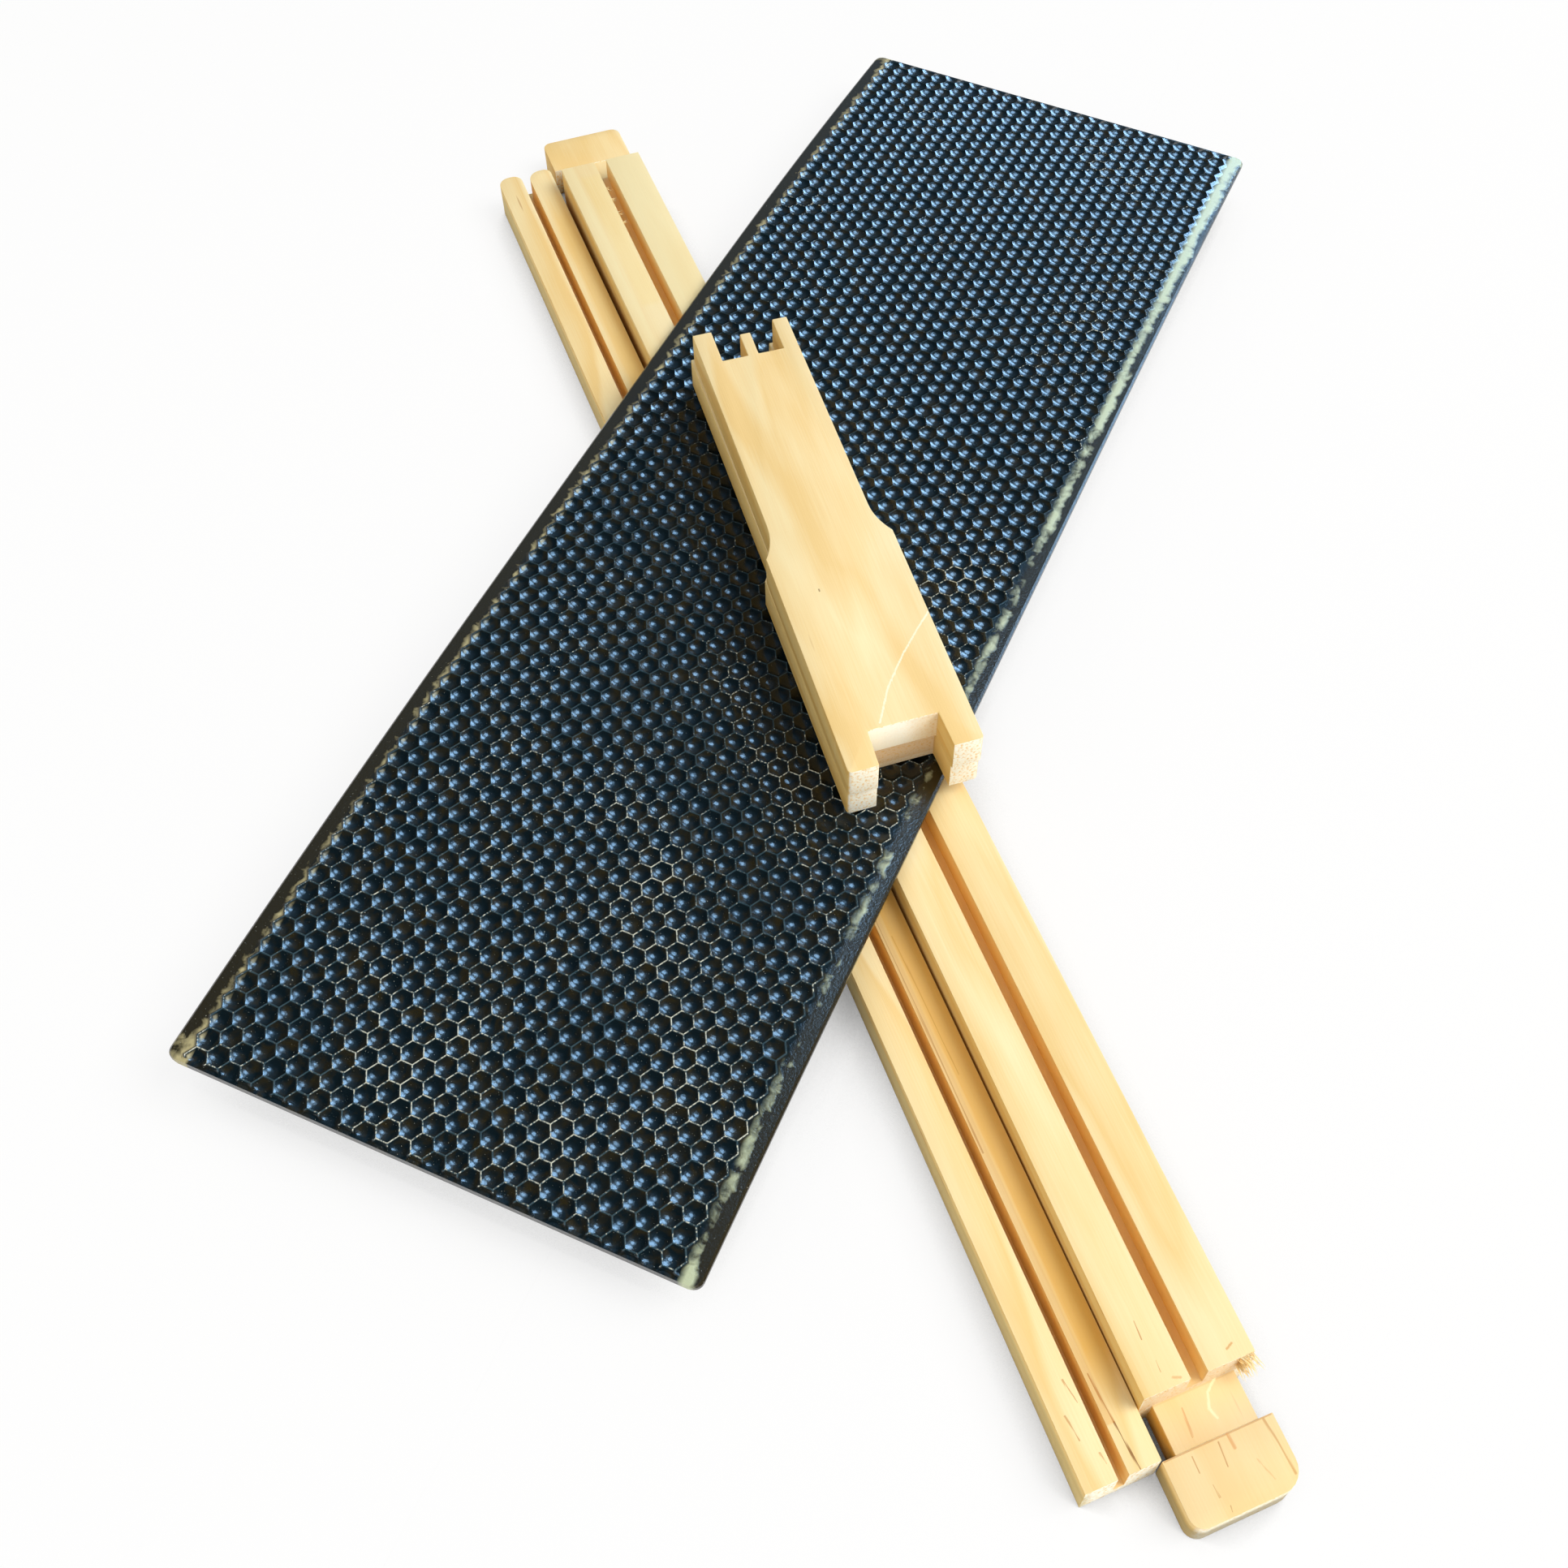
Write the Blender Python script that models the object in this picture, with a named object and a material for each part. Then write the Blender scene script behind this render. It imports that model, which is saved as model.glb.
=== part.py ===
"""Hive frame kit, not yet put together: a top bar, a bottom bar, two end bars and a foundation sheet.

The pieces lie as a kit lies on a table.  The grooved bars lie side by side, the foundation sheet
rests across the top bar with its ends hanging a little, and the two end bars are stacked on it.
Lengths are metres, +Z is up, +Y runs along the top bar and the origin is the middle of the footprint
on the table.
"""
import math

import bmesh
import bpy
from mathutils import Matrix

# Clearances and gaps
REST_GAP = 0.0003            # between pieces that lie on or beside each other
FIT_CLEARANCE = 0.0003       # between faces that mate once the frame is put together
NECK_CLEARANCE = 0.00045     # along the bar, between an end bar and the notch that takes it
SEAT_CLEARANCE = 0.0007      # an end bar stands this far above the bar seated in its notch
SHEET_END_PLAY = 0.0016      # between each short edge of the sheet and the end bar
SHEET_SIDE_PLAY = 0.0042     # total play of the sheet between the two groove floors
CUT_MARGIN = 0.0020          # cutters run this far past the faces they open

# End bars
END_BAR_LENGTH = 0.1587
END_BAR_THICKNESS = 0.01065
END_BAR_WIDE = 0.0356
END_BAR_NARROW = 0.0287
END_BAR_WIDE_LENGTH = 0.0711
WAIST_RADIUS = 0.0195
FOOT_RADIUS = 0.0012
PRONG_OVERHANG = 0.0010      # the prongs reach past the seated bottom bar
WAIST_STEPS = 8

# Top bar
TOP_BAR_LENGTH = 0.4826
TOP_BAR_WIDTH = 0.0270
LUG_THICKNESS = 0.0098
LUG_LENGTH = 0.0154
LUG_RADIUS = 0.0042
SHOULDER_STEP = 0.0092       # the grooved part stands this far above the lugs
NECK_WIDTH = 0.0196
TOP_GROOVE_WIDTH = 0.0041
TOP_GROOVE_DEPTH = 0.0076

# Bottom bar
BOTTOM_BAR_WIDTH = 0.0182
BOTTOM_BAR_HEIGHT = 0.0115
BOTTOM_GROOVE_WIDTH = 0.0030
BOTTOM_GROOVE_DEPTH = 0.0088
RAIL_TIP_RADIUS = 0.0018
TIP_FLARE_RADIUS = 0.0018
ROUND_STEPS = 6

# Foundation sheet
SHEET_EDGE_THICKNESS = 0.0024
SHEET_BORDER = 0.00385
SHEET_CORNER_RADIUS = 0.0025
FIELD_RISE = 0.0008          # the cell field stands this far above the plain border, on both faces
SHEET_NEAR_SAG = 0.0040      # the near end of the sheet hangs this far below its middle
SHEET_FAR_SAG = 0.0066       # and the far end this far
SHEET_FLAT_LENGTH = 0.1300   # the middle of the sheet lies flat over this length
SAG_STEPS = 10

# Sizes that follow from the ones above
NECK_LENGTH = END_BAR_THICKNESS + NECK_CLEARANCE
TOP_BAR_HEIGHT = LUG_THICKNESS + SHOULDER_STEP
SHOULDER_SPAN = TOP_BAR_LENGTH - 2 * (LUG_LENGTH + NECK_LENGTH)
BOTTOM_BAR_LENGTH = SHOULDER_SPAN + 2 * NECK_LENGTH
NOTCH_WIDTH = NECK_WIDTH + FIT_CLEARANCE
NOTCH_DEPTH = LUG_THICKNESS + SEAT_CLEARANCE
FORK_OPENING = BOTTOM_BAR_WIDTH + FIT_CLEARANCE
PRONG_LENGTH = BOTTOM_BAR_HEIGHT + PRONG_OVERHANG
TONGUE_WIDTH = BOTTOM_GROOVE_WIDTH - FIT_CLEARANCE
TONGUE_LENGTH = BOTTOM_GROOVE_DEPTH - FIT_CLEARANCE
BAR_TO_BAR = END_BAR_LENGTH - NOTCH_DEPTH - SHOULDER_STEP - PRONG_LENGTH
SHEET_LENGTH = SHOULDER_SPAN - 2 * SHEET_END_PLAY
SHEET_WIDTH = BAR_TO_BAR + TOP_GROOVE_DEPTH + BOTTOM_GROOVE_DEPTH - SHEET_SIDE_PLAY
SHEET_THICKNESS = SHEET_EDGE_THICKNESS + 2 * FIELD_RISE

# How the kit lies: plan positions of the pieces' middles and their turns about Z
TOP_BAR_X = -0.0096
BOTTOM_BAR_TURN = math.radians(0.20)
SHEET_Y = 0.0414
SHEET_TURN = math.radians(-45.30)
LOWER_END_BAR_XY = (-0.0065, 0.0187)
LOWER_END_BAR_TURN = math.radians(-3.43)
UPPER_END_BAR_XY = (-0.0065, 0.0170)
UPPER_END_BAR_TURN = math.radians(-3.81)

# Principled base colours are linear
PINE = ("pine", (0.82, 0.62, 0.34), 0.62, 0.0)
CLEAR_PINE = ("clear_pine", (0.86, 0.69, 0.42), 0.58, 0.0)
WAXED_PLASTIC = ("waxed_black_plastic", (0.010, 0.011, 0.012), 0.28, 0.0)


def clear_scene():
    """Remove every object already in the scene."""
    for thing in list(bpy.data.objects):
        bpy.data.objects.remove(thing, do_unlink=True)


def make_material(name, colour, roughness, metallic):
    """Return a Principled material with the given colour, roughness and metallic values."""
    material = bpy.data.materials.new(name)
    material.use_nodes = True
    shader = material.node_tree.nodes["Principled BSDF"]
    shader.inputs["Base Color"].default_value = (*colour, 1.0)
    shader.inputs["Roughness"].default_value = roughness
    shader.inputs["Metallic"].default_value = metallic
    material.diffuse_color = (*colour, 1.0)
    return material


def rounded(corners, steps):
    """Turn (x, y, radius) corners into outline points, with an arc at every corner that has a radius."""
    points = []
    count = len(corners)
    for index, (x, y, radius) in enumerate(corners):
        if radius <= 0.0:
            points.append((x, y))
            continue
        ends = []
        for other in (corners[index - 1], corners[(index + 1) % count]):
            reach = math.hypot(other[0] - x, other[1] - y)
            ends.append(((other[0] - x) / reach, (other[1] - y) / reach))
        centre_x = x + radius * (ends[0][0] + ends[1][0])
        centre_y = y + radius * (ends[0][1] + ends[1][1])
        first = math.atan2(-ends[1][1], -ends[1][0])
        last = math.atan2(-ends[0][1], -ends[0][0])
        sweep = (last - first + math.pi) % (2 * math.pi) - math.pi
        for step in range(steps + 1):
            angle = first + sweep * step / steps
            points.append((centre_x + radius * math.cos(angle), centre_y + radius * math.sin(angle)))
    return points


def prism(name, outline, bottom, top):
    """Make a closed upright prism on a counter-clockwise outline."""
    mesh = bpy.data.meshes.new(name)
    shape = bmesh.new()
    low = [shape.verts.new((x, y, bottom)) for x, y in outline]
    high = [shape.verts.new((x, y, top)) for x, y in outline]
    count = len(outline)
    shape.faces.new(list(reversed(low)))
    shape.faces.new(high)
    for index in range(count):
        after = (index + 1) % count
        shape.faces.new((low[index], low[after], high[after], high[index]))
    shape.to_mesh(mesh)
    shape.free()
    thing = bpy.data.objects.new(name, mesh)
    bpy.context.scene.collection.objects.link(thing)
    return thing


def box_outline(left, right, near, far):
    """Outline of a rectangle, counter-clockwise."""
    return [(left, near), (right, near), (right, far), (left, far)]


def combine(body, tool, operation):
    """Cut the tool from the body, or join it, and keep the tool out of renders."""
    modifier = body.modifiers.new(tool.name, "BOOLEAN")
    modifier.operation = operation
    modifier.solver = "EXACT"
    modifier.object = tool
    tool.parent = body
    tool.hide_render = True
    tool.display_type = "WIRE"


def place(thing, x, y, z, turn, material):
    """Set a finished piece down with its own middle at (x, y, z), turned about Z."""
    thing.matrix_world = Matrix.Translation((x, y, z)) @ Matrix.Rotation(turn, 4, "Z")
    thing.data.materials.append(material)


def make_top_bar():
    """Top bar, grooved face up: necks and rounded lugs at both ends of a thicker middle."""
    half_length = TOP_BAR_LENGTH / 2
    half_width = TOP_BAR_WIDTH / 2
    half_neck = NECK_WIDTH / 2
    shoulder = SHOULDER_SPAN / 2
    lug = half_length - LUG_LENGTH
    far_end = [(half_width, shoulder, 0), (half_neck, shoulder, 0), (half_neck, lug, 0),
               (half_width, lug, 0), (half_width, half_length, LUG_RADIUS)]
    corners = far_end + [(-x, y, radius) for x, y, radius in reversed(far_end)]
    corners += [(-x, -y, radius) for x, y, radius in far_end]
    corners += [(x, -y, radius) for x, y, radius in reversed(far_end)]
    bar = prism("top_bar", rounded(corners, ROUND_STEPS), 0.0, TOP_BAR_HEIGHT)
    side = half_width + CUT_MARGIN
    end = half_length + CUT_MARGIN
    above = TOP_BAR_HEIGHT + CUT_MARGIN
    for name, near, far in (("near_step", -end, -shoulder), ("far_step", shoulder, end)):
        step = prism("top_bar_" + name + "_cutter", box_outline(-side, side, near, far), LUG_THICKNESS, above)
        combine(bar, step, "DIFFERENCE")
    half_groove = TOP_GROOVE_WIDTH / 2
    groove = prism("top_bar_groove_cutter", box_outline(-half_groove, half_groove, -end, end),
                   TOP_BAR_HEIGHT - TOP_GROOVE_DEPTH, above)
    combine(bar, groove, "DIFFERENCE")
    return bar


def make_bottom_bar():
    """Bottom bar, grooved face up, with its two rail tips eased at the far end."""
    half_length = BOTTOM_BAR_LENGTH / 2
    half_width = BOTTOM_BAR_WIDTH / 2
    half_groove = BOTTOM_GROOVE_WIDTH / 2
    corners = [(-half_width, -half_length, 0), (half_width, -half_length, 0),
               (half_width, half_length, RAIL_TIP_RADIUS), (-half_width, half_length, RAIL_TIP_RADIUS)]
    bar = prism("bottom_bar", rounded(corners, ROUND_STEPS), 0.0, BOTTOM_BAR_HEIGHT)
    end = half_length + CUT_MARGIN
    flare = []
    for step in range(ROUND_STEPS + 1):
        angle = math.pi / 2 * step / ROUND_STEPS
        flare.append((half_groove + TIP_FLARE_RADIUS * (1 - math.cos(angle)),
                      half_length - TIP_FLARE_RADIUS * (1 - math.sin(angle))))
    flare.append((half_groove + TIP_FLARE_RADIUS, end))
    outline = [(half_groove, -end)] + flare
    outline += [(-x, y) for x, y in reversed(outline)]
    groove = prism("bottom_bar_groove_cutter", outline, BOTTOM_BAR_HEIGHT - BOTTOM_GROOVE_DEPTH,
                   BOTTOM_BAR_HEIGHT + CUT_MARGIN)
    combine(bar, groove, "DIFFERENCE")
    return bar


def end_bar_outline():
    """Outline of an end bar: notched wide head at -Y, waist, forked narrow foot at +Y."""
    half_length = END_BAR_LENGTH / 2
    wide = END_BAR_WIDE / 2
    narrow = END_BAR_NARROW / 2
    notch = NOTCH_WIDTH / 2
    fork = FORK_OPENING / 2
    tongue = TONGUE_WIDTH / 2
    slot_floor = half_length - PRONG_LENGTH
    notch_floor = NOTCH_DEPTH - half_length
    waist = END_BAR_WIDE_LENGTH - half_length
    sweep = math.acos(1 - (wide - narrow) / WAIST_RADIUS)
    waist_top = waist + WAIST_RADIUS * math.sin(sweep)
    right = [(notch, notch_floor, 0), (notch, -half_length, 0), (wide, -half_length, FOOT_RADIUS)]
    for step in range(WAIST_STEPS + 1):
        angle = sweep * (1 - step / WAIST_STEPS)
        right.append((narrow + WAIST_RADIUS * (1 - math.cos(angle)),
                      waist_top - WAIST_RADIUS * math.sin(angle), 0))
    right += [(narrow, half_length, 0), (fork, half_length, 0), (fork, slot_floor, 0),
              (tongue, slot_floor, 0), (tongue, slot_floor + TONGUE_LENGTH, 0)]
    corners = right + [(-x, y, radius) for x, y, radius in reversed(right)]
    return rounded(corners, ROUND_STEPS)


def make_end_bar(name):
    """One flat end bar lying on its face."""
    return prism(name, end_bar_outline(), 0.0, END_BAR_THICKNESS)


def sheet_sag(y):
    """How far the sheet hangs below its middle at a place along its length."""
    flat = SHEET_FLAT_LENGTH / 2
    past = max(0.0, abs(y) - flat)
    most = SHEET_NEAR_SAG if y < 0.0 else SHEET_FAR_SAG
    return most * (past / (SHEET_LENGTH / 2 - flat)) ** 2


def make_sheet():
    """Foundation sheet: a cell field between two thinner plain long borders, with both ends hanging."""
    half_length = SHEET_LENGTH / 2
    half_width = SHEET_WIDTH / 2
    radius = SHEET_CORNER_RADIUS
    flat = SHEET_FLAT_LENGTH / 2
    stations = []
    for step in range(SAG_STEPS + 1):
        stations.append((flat + (half_length - radius - flat) * step / SAG_STEPS, half_width))
    for step in range(1, ROUND_STEPS + 1):
        angle = math.pi / 2 * step / ROUND_STEPS
        stations.append((half_length - radius * (1 - math.sin(angle)), half_width - radius * (1 - math.cos(angle))))
    stations = [(-y, width) for y, width in reversed(stations)] + stations

    field = half_width - SHEET_BORDER
    low = FIELD_RISE
    high = FIELD_RISE + SHEET_EDGE_THICKNESS
    top = SHEET_THICKNESS
    shape = bmesh.new()
    rings = []
    for y, width in stations:
        section = [(-width, low), (-field, low), (-field, 0.0), (field, 0.0), (field, low), (width, low),
                   (width, high), (field, high), (field, top), (-field, top), (-field, high), (-width, high)]
        drop = sheet_sag(y)
        rings.append([shape.verts.new((x, y, z - drop)) for x, z in section])
    shape.faces.new(rings[0])
    shape.faces.new(list(reversed(rings[-1])))
    for near, far in zip(rings, rings[1:]):
        for index in range(len(near)):
            before = index - 1
            shape.faces.new((near[index], near[before], far[before], far[index]))
    mesh = bpy.data.meshes.new("foundation_sheet")
    shape.to_mesh(mesh)
    shape.free()
    sheet = bpy.data.objects.new("foundation_sheet", mesh)
    bpy.context.scene.collection.objects.link(sheet)
    return sheet


def main():
    """Build the five pieces and lay them out."""
    clear_scene()
    pine = make_material(*PINE)
    clear_pine = make_material(*CLEAR_PINE)
    plastic = make_material(*WAXED_PLASTIC)

    place(make_top_bar(), TOP_BAR_X, 0.0, 0.0, 0.0, pine)

    bottom_reach = (BOTTOM_BAR_WIDTH / 2 * math.cos(BOTTOM_BAR_TURN)
                    + BOTTOM_BAR_LENGTH / 2 * math.sin(BOTTOM_BAR_TURN))
    bottom_x = TOP_BAR_X - TOP_BAR_WIDTH / 2 - REST_GAP - bottom_reach
    place(make_bottom_bar(), bottom_x, 0.0, 0.0, BOTTOM_BAR_TURN, pine)

    sheet_z = max(TOP_BAR_HEIGHT, BOTTOM_BAR_HEIGHT) + REST_GAP
    place(make_sheet(), 0.0, SHEET_Y, sheet_z, SHEET_TURN, plastic)

    lower_z = sheet_z + SHEET_THICKNESS + REST_GAP
    place(make_end_bar("lower_end_bar"), *LOWER_END_BAR_XY, lower_z, LOWER_END_BAR_TURN, clear_pine)
    upper_z = lower_z + END_BAR_THICKNESS + REST_GAP
    place(make_end_bar("upper_end_bar"), *UPPER_END_BAR_XY, upper_z, UPPER_END_BAR_TURN, clear_pine)


main()
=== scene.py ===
"""Five loose pieces lie in a pile: a grooved top bar and a grooved bottom bar side by side, a waxed black
foundation sheet across them, and two end bars stacked on the sheet. Each piece is shaped in millimetres
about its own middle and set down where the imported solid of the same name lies.
"""

import math
import random

import bmesh
import bpy
from bpy.props import FloatProperty, FloatVectorProperty, IntProperty, PointerProperty
from mathutils import Matrix, Vector


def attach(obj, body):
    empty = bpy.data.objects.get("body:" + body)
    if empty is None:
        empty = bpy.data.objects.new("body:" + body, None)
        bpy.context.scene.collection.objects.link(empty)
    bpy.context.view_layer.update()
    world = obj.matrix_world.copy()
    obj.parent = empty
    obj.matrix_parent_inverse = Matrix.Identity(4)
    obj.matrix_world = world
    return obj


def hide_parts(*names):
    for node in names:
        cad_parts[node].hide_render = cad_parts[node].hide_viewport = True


bl_info = {
    "name": "Hive frame kit",
    "version": (1, 0, 0),
    "blender": (4, 5, 0),
    "location": "3D View > Sidebar > Hive frame",
    "description": "Dresses the loose pieces of a hive frame and sets the stage for them",
    "category": "Object",
}

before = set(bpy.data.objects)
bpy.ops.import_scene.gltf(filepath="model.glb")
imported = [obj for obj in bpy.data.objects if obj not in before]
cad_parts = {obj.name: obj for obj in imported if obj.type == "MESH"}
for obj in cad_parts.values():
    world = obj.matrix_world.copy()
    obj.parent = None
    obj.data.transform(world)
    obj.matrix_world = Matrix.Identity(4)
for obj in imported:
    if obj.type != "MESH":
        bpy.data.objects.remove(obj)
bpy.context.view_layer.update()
MM = 0.001

# Kinds of node that come up often
MATH, VECTOR_MATH, MAP_RANGE = "ShaderNodeMath", "ShaderNodeVectorMath", "ShaderNodeMapRange"
NOISE, MIX = "ShaderNodeTexNoise", "ShaderNodeMix"

# How the pieces lie: plan position of the middle and height of the underside (mm), turn about Z (degrees)
TOP_BAR_LIES = (-9.6, 0.0, 0.0, 0.0)
BOTTOM_BAR_LIES = (-33.288, 0.0, 0.0, 0.20)
SHEET_LIES = (0.0, 41.4, 21.3, -45.30)
LOWER_END_BAR_LIES = (-6.5, 18.7, 23.55, -3.43)
UPPER_END_BAR_LIES = (-6.5, 17.0, 34.55, -3.81)


def linear(code):
    """Linear colour, with alpha, of an sRGB hex code."""
    parts = [int(code[start:start + 2], 16) / 255 for start in (1, 3, 5)]
    return (*[part / 12.92 if part <= 0.04045 else ((part + 0.055) / 1.055) ** 2.4 for part in parts], 1.0)


def length(name, description, default):
    """A length property, given in millimetres and kept in metres."""
    return FloatProperty(name=name, description=description, default=default * MM, unit="LENGTH", precision=5)


def colour(name, description, code):
    """A colour property, given as an sRGB hex code."""
    return FloatVectorProperty(name=name, description=description, subtype="COLOR", size=4,
                               min=0.0, max=1.0, default=linear(code))


def wattage(name, description, default):
    """The power of a lamp."""
    return FloatProperty(name=name, description=description, default=default, unit="POWER")


class SheetSettings(bpy.types.PropertyGroup):
    """Sizes and colours of the foundation sheet."""
    length: length("Length", "Length of the sheet", 426.4)
    width: length("Width", "Width of the sheet", 138.7)
    near_sag: length("Near sag", "How far the near end hangs below the middle", 4.0)
    far_sag: length("Far sag", "How far the far end hangs below the middle", 6.6)
    flat_length: length("Flat length", "Length of the middle that lies flat on the bar", 130.0)
    cell_pitch: length("Cell pitch", "Distance between cells along a row", 5.2525)
    row_pitch: length("Row pitch", "Distance between rows of cells", 4.54)
    rows: IntProperty(name="Rows", description="Rows of cells across the sheet", default=28, min=1)
    cells: IntProperty(name="Cells", description="Cells along a row, past both ends", default=84, min=1)
    across: length("Across", "Middle of the cell field across the sheet", -0.315)
    along: length("Along", "Middle of the cell field along the sheet", -1.35)
    ridge_width: length("Ridge width", "Width of the ridge between two cells", 0.6)
    ridge_height: length("Ridge height", "Height of the ridges over the middle plane", 2.0)
    border_height: length("Border height", "Height of the plain border over the middle plane", 1.2)
    pit_height: length("Pit height", "Height of a cell's lowest point over the middle plane", 0.6)
    pit_rise: length("Pit rise", "Rise of a cell's floor from its lowest point to its high corners", 0.8)
    corner_radius: length("Corner radius", "Radius of the sheet's corners", 2.5)
    # Painted reflection: the plastic's near-black colour is tinted dark teal for the sky that it mirrors
    plastic: colour("Plastic", "Moulded black plastic", "#0A171C")
    film: colour("Wax film", "Thin wax over the plastic, in the cells", "#2A2410")
    # Painted sheen: the blue-grey colour along the ridge tops stands in for the window's reflection
    painted_ridge_sheen: colour("Worn wax", "Thin wax along the tops of the ridges", "#3C5560")
    left_wax: colour("Left wax", "Smeared wax on the left border", "#BDB283")
    right_wax: colour("Right wax", "Pale wax on the right border", "#CDD6AE")
    crumb_wax: colour("Wax crumbs", "White wax along the ridges", "#DDDCC8")


class WoodSettings(bpy.types.PropertyGroup):
    """Sizes and colours of the wooden bars."""
    edge: length("Edge", "Width of the eased edges", 0.35)
    neck: length("Neck", "Width of the top bar's necks", 20.2)
    early: colour("Early wood", "Pale part of a growth ring", "#FBE7B4")
    late: colour("Late wood", "Darker part of a growth ring", "#F2D08C")
    streak: colour("Streak", "Thin brown streaks along the grain", "#C08A4C")
    # Painted shade: the tint that deepens and warms upright faces as if they were in shade
    side: colour("Side tint", "How much deeper the colour is on upright faces", "#F5E8C4")
    end_grain: colour("End grain", "Sawn ends", "#FFFBEA")


class StageSettings(bpy.types.PropertyGroup):
    """Floor, lamps and surroundings."""
    floor: colour("Floor", "Pale floor", "#F2F2F2")
    # Painted shade: the dark colour of the floor deep in the gaps between the bars
    gap: colour("Gap", "Pale floor deep in the gaps between the bars", "#1C1108")
    key_power: wattage("Key", "Power of the main soft lamp", 140.0)
    side_power: wattage("Side", "Power of the large soft panel on the left", 9.0)
    front_power: wattage("Front", "Power of the large soft panel in front", 11.0)
    window: colour("Window", "Colour of the soft panels that the sheet mirrors", "#A2D2FF")
    window_power: wattage("Window", "Power of the low panel", 31.0)
    skylight_power: wattage("Skylight", "Power of the high panel", 18.0)
    side_window_power: wattage("Side window", "Power of the low panel on the right", 4.0)
    glow: FloatProperty(name="Glow", description="Blue light that the sheet mirrors round the window",
                        default=0.6, min=0.0)
    fill: FloatProperty(name="Fill", description="Light from all round", default=0.4, min=0.0)


def add(tree, kind, feeds=None, stops=(), **settings):
    """Add a node, set its properties and feed its inputs with values, sockets or other nodes."""
    node = tree.nodes.new(kind)
    for name, value in settings.items():
        setattr(node, name, value)
    if stops:
        ramp = node.color_ramp
        while len(ramp.elements) < len(stops):
            ramp.elements.new(1.0)
        for element, (position, shade) in zip(ramp.elements, stops):
            element.position = position
            element.color = shade
    for key, value in (feeds or {}).items():
        if isinstance(key, int):
            socket = node.inputs[key]
        else:
            socket = next(one for one in node.inputs if one.enabled and one.name == key)
        if isinstance(value, bpy.types.Node):
            value = next(one for one in value.outputs if one.enabled)
        if isinstance(value, bpy.types.NodeSocket):
            tree.links.new(value, socket)
        else:
            socket.default_value = value
    return node


def new_material(name):
    """An empty node material with its output and a Principled shader."""
    material = bpy.data.materials.new(name)
    material.use_nodes = True
    material.node_tree.nodes.clear()
    tree = material.node_tree
    shader = add(tree, "ShaderNodeBsdfPrincipled")
    add(tree, "ShaderNodeOutputMaterial", {"Surface": shader})
    return material, tree, shader


def own_place(tree, lies):
    """Position in a piece's own frame, in millimetres."""
    x, y, z, turn = lies
    here = add(tree, "ShaderNodeTexCoord").outputs["Object"]
    return add(tree, "ShaderNodeMapping",
               {"Vector": here, "Location": (x * MM, y * MM, z * MM),
                "Rotation": (0.0, 0.0, math.radians(turn)), "Scale": (MM, MM, MM)}, vector_type="TEXTURE")


def set_matrix(lies):
    """Matrix that takes a piece from its own frame, in millimetres, to where it lies."""
    x, y, z, turn = lies
    return (Matrix.Translation((x * MM, y * MM, z * MM)) @ Matrix.Rotation(math.radians(turn), 4, "Z")
            @ Matrix.Scale(MM, 4))


def rounded(corners, steps=6):
    """Turn (x, y, radius) corners into outline points, with an arc at every corner that has a radius."""
    points = []
    for index, (x, y, radius) in enumerate(corners):
        if radius <= 0.0:
            points.append((x, y))
            continue
        before = Vector(corners[index - 1][:2]) - Vector((x, y))
        after = Vector(corners[(index + 1) % len(corners)][:2]) - Vector((x, y))
        before.normalize()
        after.normalize()
        half = before.angle(after) / 2
        centre = Vector((x, y)) + (before + after).normalized() * radius / math.sin(half)
        first = math.atan2(*reversed((Vector((x, y)) + before * radius / math.tan(half) - centre)[:]))
        last = math.atan2(*reversed((Vector((x, y)) + after * radius / math.tan(half) - centre)[:]))
        sweep = (last - first + math.pi) % (2 * math.pi) - math.pi
        for step in range(steps + 1):
            angle = first + sweep * step / steps
            points.append((centre.x + radius * math.cos(angle), centre.y + radius * math.sin(angle)))
    return points


def prism(name, outline, low, high):
    """A closed upright prism on a counter-clockwise outline, as an object in millimetres."""
    shape = bmesh.new()
    bottom = [shape.verts.new((x, y, low)) for x, y in outline]
    top = [shape.verts.new((x, y, high)) for x, y in outline]
    shape.faces.new(list(reversed(bottom)))
    shape.faces.new(top)
    for index in range(len(outline)):
        after = (index + 1) % len(outline)
        shape.faces.new((bottom[index], bottom[after], top[after], top[index]))
    return stand(name, shape)


def stand(name, shape):
    """Turn a bmesh into a new object in the scene."""
    mesh = bpy.data.meshes.new(name)
    shape.to_mesh(mesh)
    shape.free()
    thing = bpy.data.objects.new(name, mesh)
    bpy.context.scene.collection.objects.link(thing)
    return thing


def block(left, right, near, far):
    """Outline of a rectangle, counter-clockwise."""
    return [(left, near), (right, near), (right, far), (left, far)]


def carve(body, tools):
    """Cut each tool from the body."""
    for tool in tools:
        cut = body.modifiers.new(tool.name, "BOOLEAN")
        cut.operation = "DIFFERENCE"
        cut.solver = "EXACT"
        cut.object = tool


def ease(body, width):
    """Ease the body's sharp edges."""
    bevel = body.modifiers.new("eased edges", "BEVEL")
    bevel.width = width
    bevel.segments = 2
    bevel.limit_method = "ANGLE"
    bevel.angle_limit = math.radians(50.0)


def plain_mesh(thing, spare=()):
    """The evaluated thing as a plain mesh; the thing and the spare objects go."""
    graph = bpy.context.evaluated_depsgraph_get()
    mesh = bpy.data.meshes.new_from_object(thing.evaluated_get(graph), depsgraph=graph)
    for one in (thing, *spare):
        bpy.data.objects.remove(one, do_unlink=True)
    return mesh


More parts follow.
